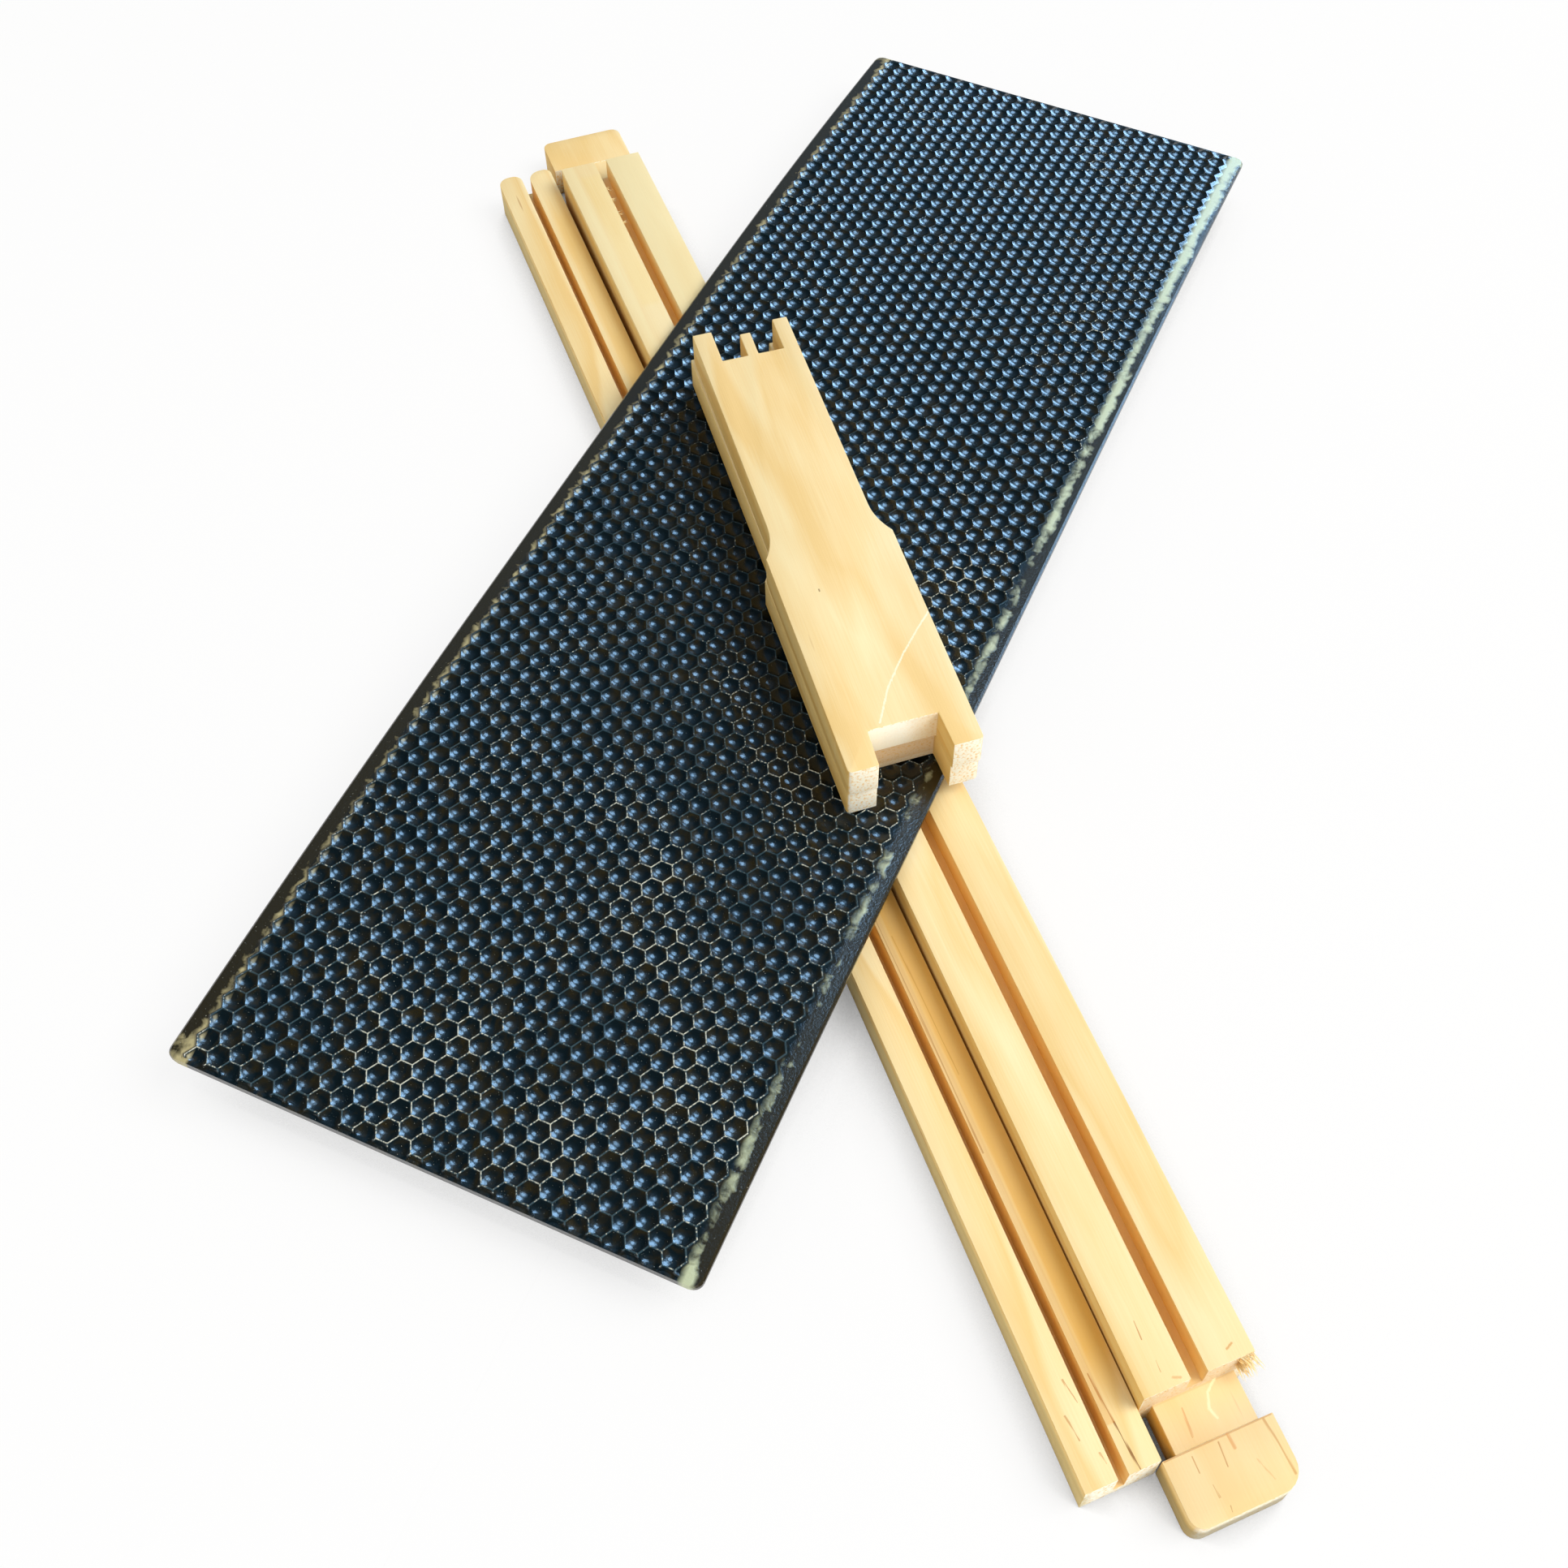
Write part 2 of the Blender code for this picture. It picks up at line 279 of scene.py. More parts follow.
def finish_piece(name, mesh, lies, material, node, smooth_angle=40.0):
    """Set a mesh down where its piece lies, in place of its node, and tie it to the body of the same name."""
    mesh.transform(set_matrix(lies))
    mesh.materials.clear()
    mesh.materials.append(material)
    mesh.shade_smooth()
    mesh.set_sharp_from_angle(angle=math.radians(smooth_angle))
    piece = bpy.data.objects.new(name, mesh)
    bpy.context.scene.collection.objects.link(piece)
    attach(piece, node)
    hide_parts(node)
    return piece


# Sheet


def sheet_material(settings):
    """Black moulded plastic under a thin coat of beeswax.

    The plastic is near black with a dark teal tint, which is a painted reflection of the sky, and mirrors the
    window in every cell; a painted blue-grey sheen of the window lies on the ridge tops; the wax gives a brown
    film in the cells, white crumbs along the ridges and cream smears on the borders and corners.
    """
    material, tree, shader = new_material("waxed black plastic")
    place = own_place(tree, SHEET_LIES)
    across, along = add(tree, "ShaderNodeSeparateXYZ", {0: place}).outputs[:2]
    level = add(tree, "ShaderNodeAttribute", attribute_name="level").outputs["Fac"]
    crest = add(tree, MAP_RANGE, {"Value": level, "From Min": 1.8, "From Max": 1.94})
    near = add(tree, MAP_RANGE, {"Value": along, "From Min": 30.0, "From Max": -190.0})
    right = add(tree, MAP_RANGE, {"Value": across, "From Min": -60.0, "From Max": 60.0})
    ends = add(tree, MATH, {0: along}, operation="ABSOLUTE")
    corner = add(tree, MAP_RANGE, {"Value": ends, "From Min": 200.0, "From Max": 212.0, "To Max": 0.5})

    coarse = add(tree, NOISE, {"Vector": place, "Scale": 0.03, "Detail": 3.0})
    medium = add(tree, NOISE, {"Vector": place, "Scale": 0.3, "Detail": 4.0, "Distortion": 0.6})
    fine = add(tree, NOISE, {"Vector": place, "Scale": 1.6, "Detail": 4.0})
    grain = add(tree, NOISE, {"Vector": place, "Scale": 3.4, "Detail": 2.0})

    # White crumbs lie along the ridges, most of them near the right corner of the near end
    crumb_level = fine
    for part, weight in ((near, 0.13), (right, 0.06), (coarse, 0.7)):
        crumb_level = add(tree, MATH, {0: part, 1: weight, 2: crumb_level}, operation="MULTIPLY_ADD")
    crumbs = add(tree, MAP_RANGE, {"Value": crumb_level, "From Min": 1.01, "From Max": 1.13})
    crumbs = add(tree, MATH, {0: crumbs, 1: crest}, operation="MULTIPLY")
    specks = add(tree, MATH, {0: near, 1: 0.03, 2: grain}, operation="MULTIPLY_ADD")
    specks = add(tree, MAP_RANGE, {"Value": specks, "From Min": 0.76, "From Max": 0.8, "To Max": 0.8})
    crumbs = add(tree, MATH, {0: crumbs, 1: specks}, operation="MAXIMUM")

    # Smears on the left border fill the hollows beside the cells and thin out towards the edge
    foot = add(tree, MAP_RANGE, {"Value": level, "From Min": 1.75, "From Max": 1.35})
    smear = add(tree, MAP_RANGE, {"Value": across, "From Min": -67.0, "From Max": -64.6, "To Max": 0.55})
    smear = add(tree, MATH, {0: medium, 1: 1.5, 2: smear}, operation="MULTIPLY_ADD")
    smear = add(tree, MATH, {0: smear, 1: corner}, operation="ADD")
    smear = add(tree, MAP_RANGE, {"Value": smear, "From Min": 1.1, "From Max": 1.5, "To Max": 0.9})
    edge = add(tree, MAP_RANGE, {"Value": across, "From Min": -63.0, "From Max": -63.8})
    edge = add(tree, MATH, {0: edge, 1: foot}, operation="MULTIPLY")
    left_wax = add(tree, MATH, {0: smear, 1: edge}, operation="MULTIPLY")

    # Long pale patches lie along the cells on the right border, more of them at the far half
    patch = add(tree, VECTOR_MATH, {0: place, 1: (0.1, 0.035, 0.1)}, operation="MULTIPLY")
    patch = add(tree, NOISE, {"Vector": patch, "Scale": 1.0, "Detail": 3.0})
    far = add(tree, MAP_RANGE, {"Value": along, "From Min": 0.0, "From Max": 160.0, "To Max": 0.3})
    inner = add(tree, MAP_RANGE, {"Value": across, "From Min": 70.0, "From Max": 66.0,
                                  "To Min": -0.1, "To Max": 0.9})
    for part, weight in ((corner, 1.0), (near, -0.16), (far, 1.0), (medium, 1.1), (inner, 1.0)):
        patch = add(tree, MATH, {0: part, 1: weight, 2: patch}, operation="MULTIPLY_ADD")
    patch = add(tree, MAP_RANGE, {"Value": patch, "From Min": 1.78, "From Max": 2.15, "To Max": 0.85})
    edge = add(tree, MAP_RANGE, {"Value": across, "From Min": 63.6, "From Max": 65.2})
    edge = add(tree, MATH, {0: edge, 1: foot}, operation="MULTIPLY")
    right_wax = add(tree, MATH, {0: patch, 1: edge}, operation="MULTIPLY")

    # The ridge tops get a painted blue-grey sheen of the window, most at the near end; a brown film lies on
    # the borders and in some cells
    ridge_sheen_mask = add(tree, MAP_RANGE, {"Value": level, "From Min": 1.72, "From Max": 1.9})
    ridge_sheen_share = add(tree, MAP_RANGE, {"Value": near, "To Min": 0.25, "To Max": 0.75})
    ridge_sheen_mask = add(tree, MATH, {0: ridge_sheen_mask, 1: ridge_sheen_share}, operation="MULTIPLY")
    border = add(tree, MATH, {0: across}, operation="ABSOLUTE")
    border = add(tree, MAP_RANGE, {"Value": border, "From Min": 64.0, "From Max": 65.5})
    film = add(tree, MAP_RANGE, {"Value": medium, "From Min": 0.44, "From Max": 0.7})
    film = add(tree, MATH, {0: film, 1: border}, operation="MAXIMUM")
    base = add(tree, MIX, {"Factor": film, "A": settings.plastic, "B": settings.film}, data_type="RGBA")
    for amount, shade in ((ridge_sheen_mask, settings.painted_ridge_sheen), (left_wax, settings.left_wax),
                          (right_wax, settings.right_wax), (crumbs, settings.crumb_wax)):
        base = add(tree, MIX, {"Factor": amount, "A": base, "B": shade}, data_type="RGBA")
    waxed = add(tree, MATH, {0: left_wax, 1: right_wax}, operation="MAXIMUM")
    waxed = add(tree, MATH, {0: waxed, 1: crumbs}, operation="MAXIMUM")
    rough = add(tree, MAP_RANGE, {"Value": fine, "From Min": 0.3, "From Max": 0.7,
                                  "To Min": 0.17, "To Max": 0.26})
    rough = add(tree, MATH, {0: waxed, 1: 0.25, 2: rough}, operation="MULTIPLY_ADD")
    relief = add(tree, MATH, {0: fine, 1: medium}, operation="ADD")
    relief = add(tree, MATH, {0: waxed, 1: 0.8, 2: relief}, operation="MULTIPLY_ADD")
    bump = add(tree, "ShaderNodeBump", {"Height": relief, "Strength": 0.25, "Distance": 0.00025})

    tree.links.new(base.outputs[2], shader.inputs["Base Color"])
    tree.links.new(rough.outputs[0], shader.inputs["Roughness"])
    tree.links.new(bump.outputs[0], shader.inputs["Normal"])
    shader.inputs["IOR"].default_value = 1.5
    return material


def cell_template(settings):
    """One cell of the sheet: half a ridge all round, sloping walls and a floor of three rhombs."""
    point = settings.row_pitch * 2 / 3 / MM
    flat = settings.cell_pitch / 2 / MM
    corners = [(point, 0), (point / 2, flat), (-point / 2, flat),
               (-point, 0), (-point / 2, -flat), (point / 2, -flat)]
    crest = settings.ridge_height / MM
    lowest = settings.pit_height / MM
    rise = settings.pit_rise / MM
    half_ridge = settings.ridge_width / 2 / MM
    lip_drop = 0.3
    wall_run = 0.65
    shape = bmesh.new()
    rings = []
    for inset, heights in ((0.0, (crest, crest)), (half_ridge, (crest - lip_drop, crest - lip_drop)),
                           (half_ridge + wall_run, (lowest + rise, lowest + rise / 2))):
        share = 1 - inset / flat
        rings.append([shape.verts.new((x * share, y * share, heights[index % 2]))
                      for index, (x, y) in enumerate(corners)])
    middle = shape.verts.new((0, 0, lowest))
    for outer, inner in zip(rings, rings[1:]):
        for index in range(6):
            after = (index + 1) % 6
            shape.faces.new((outer[index], outer[after], inner[after], inner[index]))
    floor = rings[-1]
    for index in (0, 2, 4):
        shape.faces.new((middle, floor[index - 1], floor[index], floor[index + 1]))
    return stand("cell template", shape)


def comb_tree(template, material):
    """Geometry nodes that lay out the cells in offset rows and weld them into one surface."""
    tree = bpy.data.node_groups.new("Comb cells", "GeometryNodeTree")
    for name, kind in (("Rows", "NodeSocketInt"), ("Cells", "NodeSocketInt"),
                       ("Cell pitch", "NodeSocketFloat"), ("Row pitch", "NodeSocketFloat"),
                       ("Weld distance", "NodeSocketFloat")):
        tree.interface.new_socket(name, in_out="INPUT", socket_type=kind)
    tree.interface.new_socket("Comb", in_out="OUTPUT", socket_type="NodeSocketGeometry")
    given = add(tree, "NodeGroupInput").outputs
    gaps = [add(tree, MATH, {0: given[name], 1: 1.0}, operation="SUBTRACT")
            for name in ("Rows", "Cells")]
    sizes = [add(tree, MATH, {0: gap, 1: given[name]}, operation="MULTIPLY")
             for gap, name in zip(gaps, ("Row pitch", "Cell pitch"))]
    grid = add(tree, "GeometryNodeMeshGrid", {"Size X": sizes[0], "Size Y": sizes[1],
                                              "Vertices X": given["Rows"], "Vertices Y": given["Cells"]})
    across = add(tree, "ShaderNodeSeparateXYZ", {0: add(tree, "GeometryNodeInputPosition")})
    row = add(tree, MATH, {0: across, 1: given["Row pitch"]}, operation="DIVIDE")
    row = add(tree, MATH, {0: gaps[0], 1: 0.5, 2: row}, operation="MULTIPLY_ADD")
    row = add(tree, MATH, {0: row}, operation="ROUND")
    odd = add(tree, MATH, {0: row, 1: 2.0}, operation="MODULO")
    even = add(tree, MATH, {0: 1.0, 1: odd}, operation="SUBTRACT")
    half = add(tree, MATH, {0: given["Cell pitch"], 1: 0.5}, operation="MULTIPLY")
    shift = add(tree, MATH, {0: even, 1: half}, operation="MULTIPLY")
    offset = add(tree, "ShaderNodeCombineXYZ", {"Y": shift})
    points = add(tree, "GeometryNodeSetPosition", {"Geometry": grid, "Offset": offset})
    cell = add(tree, "GeometryNodeObjectInfo", {"Object": template})
    cell = cell.outputs["Geometry"]
    cells = add(tree, "GeometryNodeInstanceOnPoints", {"Points": points, "Instance": cell})
    real = add(tree, "GeometryNodeRealizeInstances", {"Geometry": cells})
    welded = add(tree, "GeometryNodeMergeByDistance", {"Geometry": real, "Distance": given["Weld distance"]})
    dressed = add(tree, "GeometryNodeSetMaterial", {"Geometry": welded, "Material": material})
    add(tree, "NodeGroupOutput", {0: dressed})
    return tree


def set_inputs(modifier, values):
    """Set a geometry nodes modifier's inputs by their names."""
    for item in modifier.node_group.interface.items_tree:
        if item.in_out == "INPUT" and item.name in values:
            modifier[item.identifier] = values[item.name]


def comb_mesh(settings, material):
    """The upper cell surface as a plain mesh, in millimetres, past the sheet's short ends."""
    template = cell_template(settings)
    weld = 0.01
    carrier = bpy.data.objects.new("comb carrier", bpy.data.meshes.new("comb carrier"))
    bpy.context.scene.collection.objects.link(carrier)
    nodes = carrier.modifiers.new("Comb cells", "NODES")
    nodes.node_group = comb_tree(template, material)
    set_inputs(nodes, {"Rows": settings.rows, "Cells": settings.cells, "Cell pitch": settings.cell_pitch / MM,
                       "Row pitch": settings.row_pitch / MM, "Weld distance": weld})
    mesh = plain_mesh(carrier, (template,))
    mesh.transform(Matrix.Translation((settings.across / MM, settings.along / MM, 0.0)))
    return mesh


def sheet_side(settings, along):
    """Distance of the sheet's long edge from its middle line, with the corners rounded."""
    radius = settings.corner_radius / MM
    half_width = settings.width / 2 / MM
    into = max(0.0, abs(along) - (settings.length / 2 / MM - radius))
    return half_width - radius + math.sqrt(max(0.0, radius * radius - into * into))


def sheet_sag(settings, along):
    """How far the sheet hangs below its middle at a place along its length, in millimetres."""
    flat = settings.flat_length / 2 / MM
    free = settings.length / 2 / MM - flat
    most = (settings.near_sag if along < 0.0 else settings.far_sag) / MM
    return most * (max(0.0, abs(along) - flat) / free) ** 2


def bridge(shape, rows):
    """Join rows of points, each given as a list of vertices, with faces between neighbours."""
    for first, second in zip(rows, rows[1:]):
        for index in range(len(first) - 1):
            shape.faces.new((first[index], first[index + 1], second[index + 1], second[index]))


def sheet_half(settings, material):
    """Upper half of the sheet, open along its middle plane."""
    shape = bmesh.new()
    mesh = comb_mesh(settings, material)
    shape.from_mesh(mesh)
    bpy.data.meshes.remove(mesh)
    half_length = settings.length / 2 / MM
    border = settings.border_height / MM
    foot_run = 1.1
    rim = 0.6
    ledge, ledge_step = 0.9, 0.25
    corner_shares = (0.06, 0.2, 0.4, 0.66, 1.0)
    tiny, apart, weld = 0.001, 0.01, 0.002
    for way in (-1, 1):
        for inset in (ledge + ledge_step, ledge, 0.0):
            bmesh.ops.bisect_plane(shape, geom=shape.verts[:] + shape.edges[:] + shape.faces[:], dist=0.0001,
                                   plane_co=(0, way * (half_length - inset), 0), plane_no=(0, way, 0),
                                   clear_outer=inset == 0.0)
    for vertex in shape.verts:
        if abs(vertex.co.y) > half_length - ledge - ledge_step / 2:
            vertex.co.z = border
    sides = {-1: set(), 1: set()}
    for edge in shape.edges:
        if len(edge.link_faces) == 1 and min(abs(v.co.y) for v in edge.verts) < half_length - tiny:
            sides[1 if edge.verts[0].co.x > 0 else -1].update(edge.verts)

    radius = settings.corner_radius / MM
    extra = [way * (half_length - share * radius) for way in (-1, 1) for share in corner_shares]
    for way, found in sides.items():
        line = sorted(found, key=lambda v: v.co.y)
        top_line = []
        for first, second in zip(line, line[1:]):
            top_line.append(first)
            for along in sorted(extra):
                if first.co.y + apart < along < second.co.y - apart:
                    base = top_line[-1]
                    edge = shape.edges.get((base, second))
                    share = (along - base.co.y) / (second.co.y - base.co.y)
                    top_line.append(bmesh.utils.edge_split(edge, base, share)[1])
        top_line.append(line[-1])
        rows = [top_line, [], [], [], []]
        for vertex in top_line:
            along = vertex.co.y
            side = sheet_side(settings, along)
            rows[1].append(shape.verts.new((vertex.co.x + way * foot_run, along, border)))
            rows[2].append(shape.verts.new((way * (side - rim), along, border)))
            rows[3].append(shape.verts.new((way * side, along, border - rim)))
            rows[4].append(shape.verts.new((way * side, along, 0.0)))
        bridge(shape, rows)

    ends = [edge for edge in shape.edges if len(edge.link_faces) == 1
            and min(abs(v.co.y) for v in edge.verts) > half_length - tiny
            and max(v.co.z for v in edge.verts) > tiny]
    middle_points = {}
    for vertex in dict.fromkeys(v for edge in ends for v in edge.verts):
        flat = vertex.co.z < tiny
        middle_points[vertex] = vertex if flat else shape.verts.new((vertex.co.x, vertex.co.y, 0.0))
    for edge in ends:
        first, second = edge.verts
        corners = [first, second, middle_points[second], middle_points[first]]
        shape.faces.new(list(dict.fromkeys(corners)))
    bmesh.ops.remove_doubles(shape, verts=shape.verts[:], dist=weld)
    bmesh.ops.recalc_face_normals(shape, faces=shape.faces[:])
    return shape


def make_sheet_mesh(settings, material):
    """The whole closed sheet: the upper half and its mirror image, welded along the middle plane."""
    tiny, weld = 0.001, 0.0015
    shape = sheet_half(settings, material)
    twin = bmesh.ops.duplicate(shape, geom=shape.verts[:] + shape.edges[:] + shape.faces[:])["geom"]
    bmesh.ops.scale(shape, vec=(1, 1, -1), verts=[one for one in twin if isinstance(one, bmesh.types.BMVert)])
    bmesh.ops.remove_doubles(shape, verts=[v for v in shape.verts if abs(v.co.z) < tiny], dist=weld)
    bmesh.ops.recalc_face_normals(shape, faces=shape.faces[:])
    level = shape.verts.layers.float.new("level")
    for vertex in shape.verts:
        vertex[level] = abs(vertex.co.z)
        vertex.co.z -= sheet_sag(settings, vertex.co.y)
    mesh = bpy.data.meshes.new("foundation_comb")
    shape.to_mesh(mesh)
    loose = [edge for edge in shape.edges if len(edge.link_faces) != 2]
    shape.free()
    if loose:
        raise RuntimeError("the sheet is not closed: %d edges" % len(loose))
    return mesh


# Wood


def box_mask(tree, place, middle, half, blur):
    """One inside a box in a piece's own frame, falling to nothing over the blur distances outside it."""
    off = add(tree, VECTOR_MATH, {0: place, 1: middle}, operation="SUBTRACT")
    off = add(tree, VECTOR_MATH, {0: off}, operation="ABSOLUTE")
    off = add(tree, VECTOR_MATH, {0: off, 1: half}, operation="SUBTRACT")
    off = add(tree, VECTOR_MATH, {0: off, 1: (0.0, 0.0, 0.0)}, operation="MAXIMUM")
    blurs = blur if isinstance(blur, tuple) else (blur, blur, blur)
    off = add(tree, VECTOR_MATH, {0: off, 1: blurs}, operation="DIVIDE")
    off = add(tree, VECTOR_MATH, {0: off}, operation="LENGTH")
    return add(tree, MAP_RANGE, {"Value": off.outputs["Value"], "From Min": 1.0, "From Max": 0.0})


def line_mask(tree, place, points, width):
    """One along a line through the points, falling to nothing at half the width from it."""
    mask = None
    for start, end in zip(points, points[1:]):
        run = Vector(end) - Vector(start)
        off = add(tree, VECTOR_MATH, {0: place, 1: start}, operation="SUBTRACT")
        share = add(tree, VECTOR_MATH, {0: off, 1: run / run.length_squared}, operation="DOT_PRODUCT")
        share = add(tree, "ShaderNodeClamp", {"Value": share.outputs["Value"]})
        foot = add(tree, VECTOR_MATH, {0: run, "Scale": share}, operation="SCALE")
        off = add(tree, VECTOR_MATH, {0: off, 1: foot}, operation="DISTANCE")
        part = add(tree, MAP_RANGE, {"Value": off.outputs["Value"], "From Min": width / 2,
                                     "From Max": width / 6})
        mask = part if mask is None else add(tree, MATH, {0: mask, 1: part}, operation="MAXIMUM")
    return mask


def pine_material(name, lies, settings, pith, ring, seed, boxes=(), lines=()):
    """Planed bare pine: pale soft growth rings, fine fibres, thin brown streaks and a chalky end grain.

    Boxes give (middle, half size, blur, colour, amount) of stained places and of painted light and shade, and
    lines give (height, points, width, colour, amount) of single streaks and scratches, all in the piece's own
    frame.
    """
    material, tree, shader = new_material(name)
    place = own_place(tree, lies)
    seed_shift = (seed * 37.0, seed * 211.0, seed * 53.0)
    shifted = add(tree, VECTOR_MATH, {0: place, 1: seed_shift}, operation="ADD")

    # Growth rings about a pith line that runs nearly along the bar
    sway = add(tree, VECTOR_MATH, {0: shifted, 1: (0.03, 0.006, 0.03)}, operation="MULTIPLY")
    sway = add(tree, NOISE, {"Vector": sway, "Scale": 1.0, "Detail": 2.0})
    from_pith = add(tree, VECTOR_MATH, {0: place, 1: (pith[0], 0.0, pith[1])}, operation="SUBTRACT")
    from_pith = add(tree, VECTOR_MATH, {0: from_pith, 1: (1.0, 0.012, 1.0)}, operation="MULTIPLY")
    from_pith = add(tree, VECTOR_MATH, {0: from_pith}, operation="LENGTH")
    phase = add(tree, MATH, {0: sway, 1: 3.0 * ring, 2: from_pith.outputs["Value"]},
                operation="MULTIPLY_ADD")
    phase = add(tree, MATH, {0: phase, 1: ring}, operation="DIVIDE")
    phase = add(tree, MATH, {0: phase}, operation="FRACT")
    rings = add(tree, "ShaderNodeValToRGB", {0: phase},
                [(0.0, (0, 0, 0, 1)), (0.55, (0.25, 0.25, 0.25, 1)), (0.86, (1, 1, 1, 1)),
                 (1.0, (0, 0, 0, 1))])

    # Fibres are about 0.3 mm wide and run for tens of millimetres
    fibre = add(tree, VECTOR_MATH, {0: shifted, 1: (2.6, 0.05, 2.6)}, operation="MULTIPLY")
    fibre = add(tree, NOISE, {"Vector": fibre, "Scale": 1.0, "Detail": 3.0})
    cloud = add(tree, VECTOR_MATH, {0: shifted, 1: (0.09, 0.02, 0.09)}, operation="MULTIPLY")
    cloud = add(tree, NOISE, {"Vector": cloud, "Scale": 1.0, "Detail": 2.0})
    shade = add(tree, MATH, {0: fibre, 1: 0.35, 2: cloud}, operation="MULTIPLY_ADD")
    shade = add(tree, MATH, {0: rings, 1: 0.45, 2: shade}, operation="MULTIPLY_ADD")
    shade = add(tree, MAP_RANGE, {"Value": shade, "From Min": 0.5, "From Max": 1.1})
    base = add(tree, MIX, {"Factor": shade, "A": settings.early, "B": settings.late}, data_type="RGBA")

    # Resin streaks: sparse brown dashes about 0.3 mm wide and 6 mm long
    dash = add(tree, VECTOR_MATH, {0: shifted, 1: (0.2, 0.014, 0.2)}, operation="MULTIPLY")
    dash = add(tree, "ShaderNodeTexVoronoi", {"Vector": dash, "Scale": 1.0})
    close = add(tree, MAP_RANGE, {"Value": dash.outputs["Distance"], "From Min": 0.07, "From Max": 0.03})
    kept = add(tree, "ShaderNodeSeparateColor", {0: dash.outputs["Color"]})
    kept = add(tree, MAP_RANGE, {"Value": kept, "From Min": 0.45, "From Max": 0.95})
    dashes = add(tree, MATH, {0: close, 1: kept}, operation="MULTIPLY")
    base = add(tree, MIX, {"Factor": dashes, "A": base, "B": settings.streak}, data_type="RGBA")

    # Painted shade: upright faces get a deeper, warmer colour, as if shaded and lit by light bounced off the
    # wood
    normal = add(tree, "ShaderNodeNewGeometry").outputs["Normal"]
    upright = add(tree, "ShaderNodeSeparateXYZ", {0: normal}).outputs["Z"]
    upright = add(tree, MATH, {0: upright}, operation="ABSOLUTE")
    upright = add(tree, MAP_RANGE, {"Value": upright, "From Min": 0.7, "From Max": 0.3})
    base = add(tree, MIX, {"Factor": upright, "A": base, "B": settings.side}, data_type="RGBA",
               blend_type="MULTIPLY")

    # Sawn ends face along the bar
    turn = math.radians(lies[3])
    facing = add(tree, VECTOR_MATH, {0: normal, 1: (-math.sin(turn), math.cos(turn), 0.0)},
                 operation="DOT_PRODUCT")
    facing = add(tree, MATH, {0: facing.outputs["Value"]}, operation="ABSOLUTE")
    sawn = add(tree, MAP_RANGE, {"Value": facing, "From Min": 0.55, "From Max": 0.85})
    pores = add(tree, NOISE, {"Vector": place, "Scale": 1.4, "Detail": 4.0})
    pits = add(tree, MAP_RANGE, {"Value": pores, "From Min": 0.34, "From Max": 0.5})
    end = add(tree, MIX, {"Factor": pits, "A": settings.late, "B": settings.end_grain}, data_type="RGBA")
    base = add(tree, MIX, {"Factor": sawn, "A": base, "B": end}, data_type="RGBA")

    # Stains, painted light and shade, and single marks, with edges that waver along the fibres
    waver = add(tree, MATH, {0: fibre, 1: 0.5}, operation="SUBTRACT")
    waver = add(tree, "ShaderNodeCombineXYZ", {"X": waver})
    ragged = add(tree, VECTOR_MATH, {0: place, 1: waver}, operation="ADD")
    for middle, half, blur, code, amount in boxes:
        mask = add(tree, MATH, {0: box_mask(tree, ragged, middle, half, blur), 1: amount},
                   operation="MULTIPLY")
        base = add(tree, MIX, {"Factor": mask, "A": base, "B": linear(code)}, data_type="RGBA")
    for height, points, width, code, amount in lines:
        mask = line_mask(tree, ragged, [(x, y, height) for x, y in points], width)
        mask = add(tree, MATH, {0: mask, 1: amount}, operation="MULTIPLY")
        base = add(tree, MIX, {"Factor": mask, "A": base, "B": linear(code)}, data_type="RGBA")

    rough = add(tree, MAP_RANGE, {"Value": fibre, "From Min": 0.3, "From Max": 0.7,
                                  "To Min": 0.52, "To Max": 0.68})
    relief = add(tree, MIX, {"Factor": sawn, "A": fibre, "B": pores}, data_type="FLOAT")
    bump = add(tree, "ShaderNodeBump", {"Height": relief, "Strength": 0.25, "Distance": 0.0002})
    tree.links.new(base.outputs[2], shader.inputs["Base Color"])
    tree.links.new(rough.outputs[0], shader.inputs["Roughness"])
    tree.links.new(bump.outputs[0], shader.inputs["Normal"])
    shader.inputs["IOR"].default_value = 1.45
    shader.inputs["Specular IOR Level"].default_value = 0.25
    return material


def add_splinters(mesh, spots, seed):
    """Add thin pointed splinters to a mesh.

    Each spot gives a count, a box for the roots, a reach, how much the tips stray from it, and a width.
    """
    chance = random.Random(seed)
    shape = bmesh.new()
    shape.from_mesh(mesh)
    for count, low, high, reach, stray, width in spots:
        for _ in range(count):
            root = Vector([chance.uniform(a, b) for a, b in zip(low, high)])
            run = Vector([way + chance.uniform(-free, free) for way, free in zip(reach, stray)])
            across = run.cross(Vector((0.3, 0.2, 1.0))).normalized() * width * chance.uniform(0.5, 1.0)
            lift = run.cross(across).normalized() * width * 0.6
            foot = [shape.verts.new(root + side) for side in (across, -across, lift)]
            tip = shape.verts.new(root + run)
            faces = [shape.faces.new(foot)]
            faces += [shape.faces.new((foot[index], foot[(index + 1) % 3], tip)) for index in range(3)]
            bmesh.ops.recalc_face_normals(shape, faces=faces)
    shape.to_mesh(mesh)
    shape.free()
    return mesh


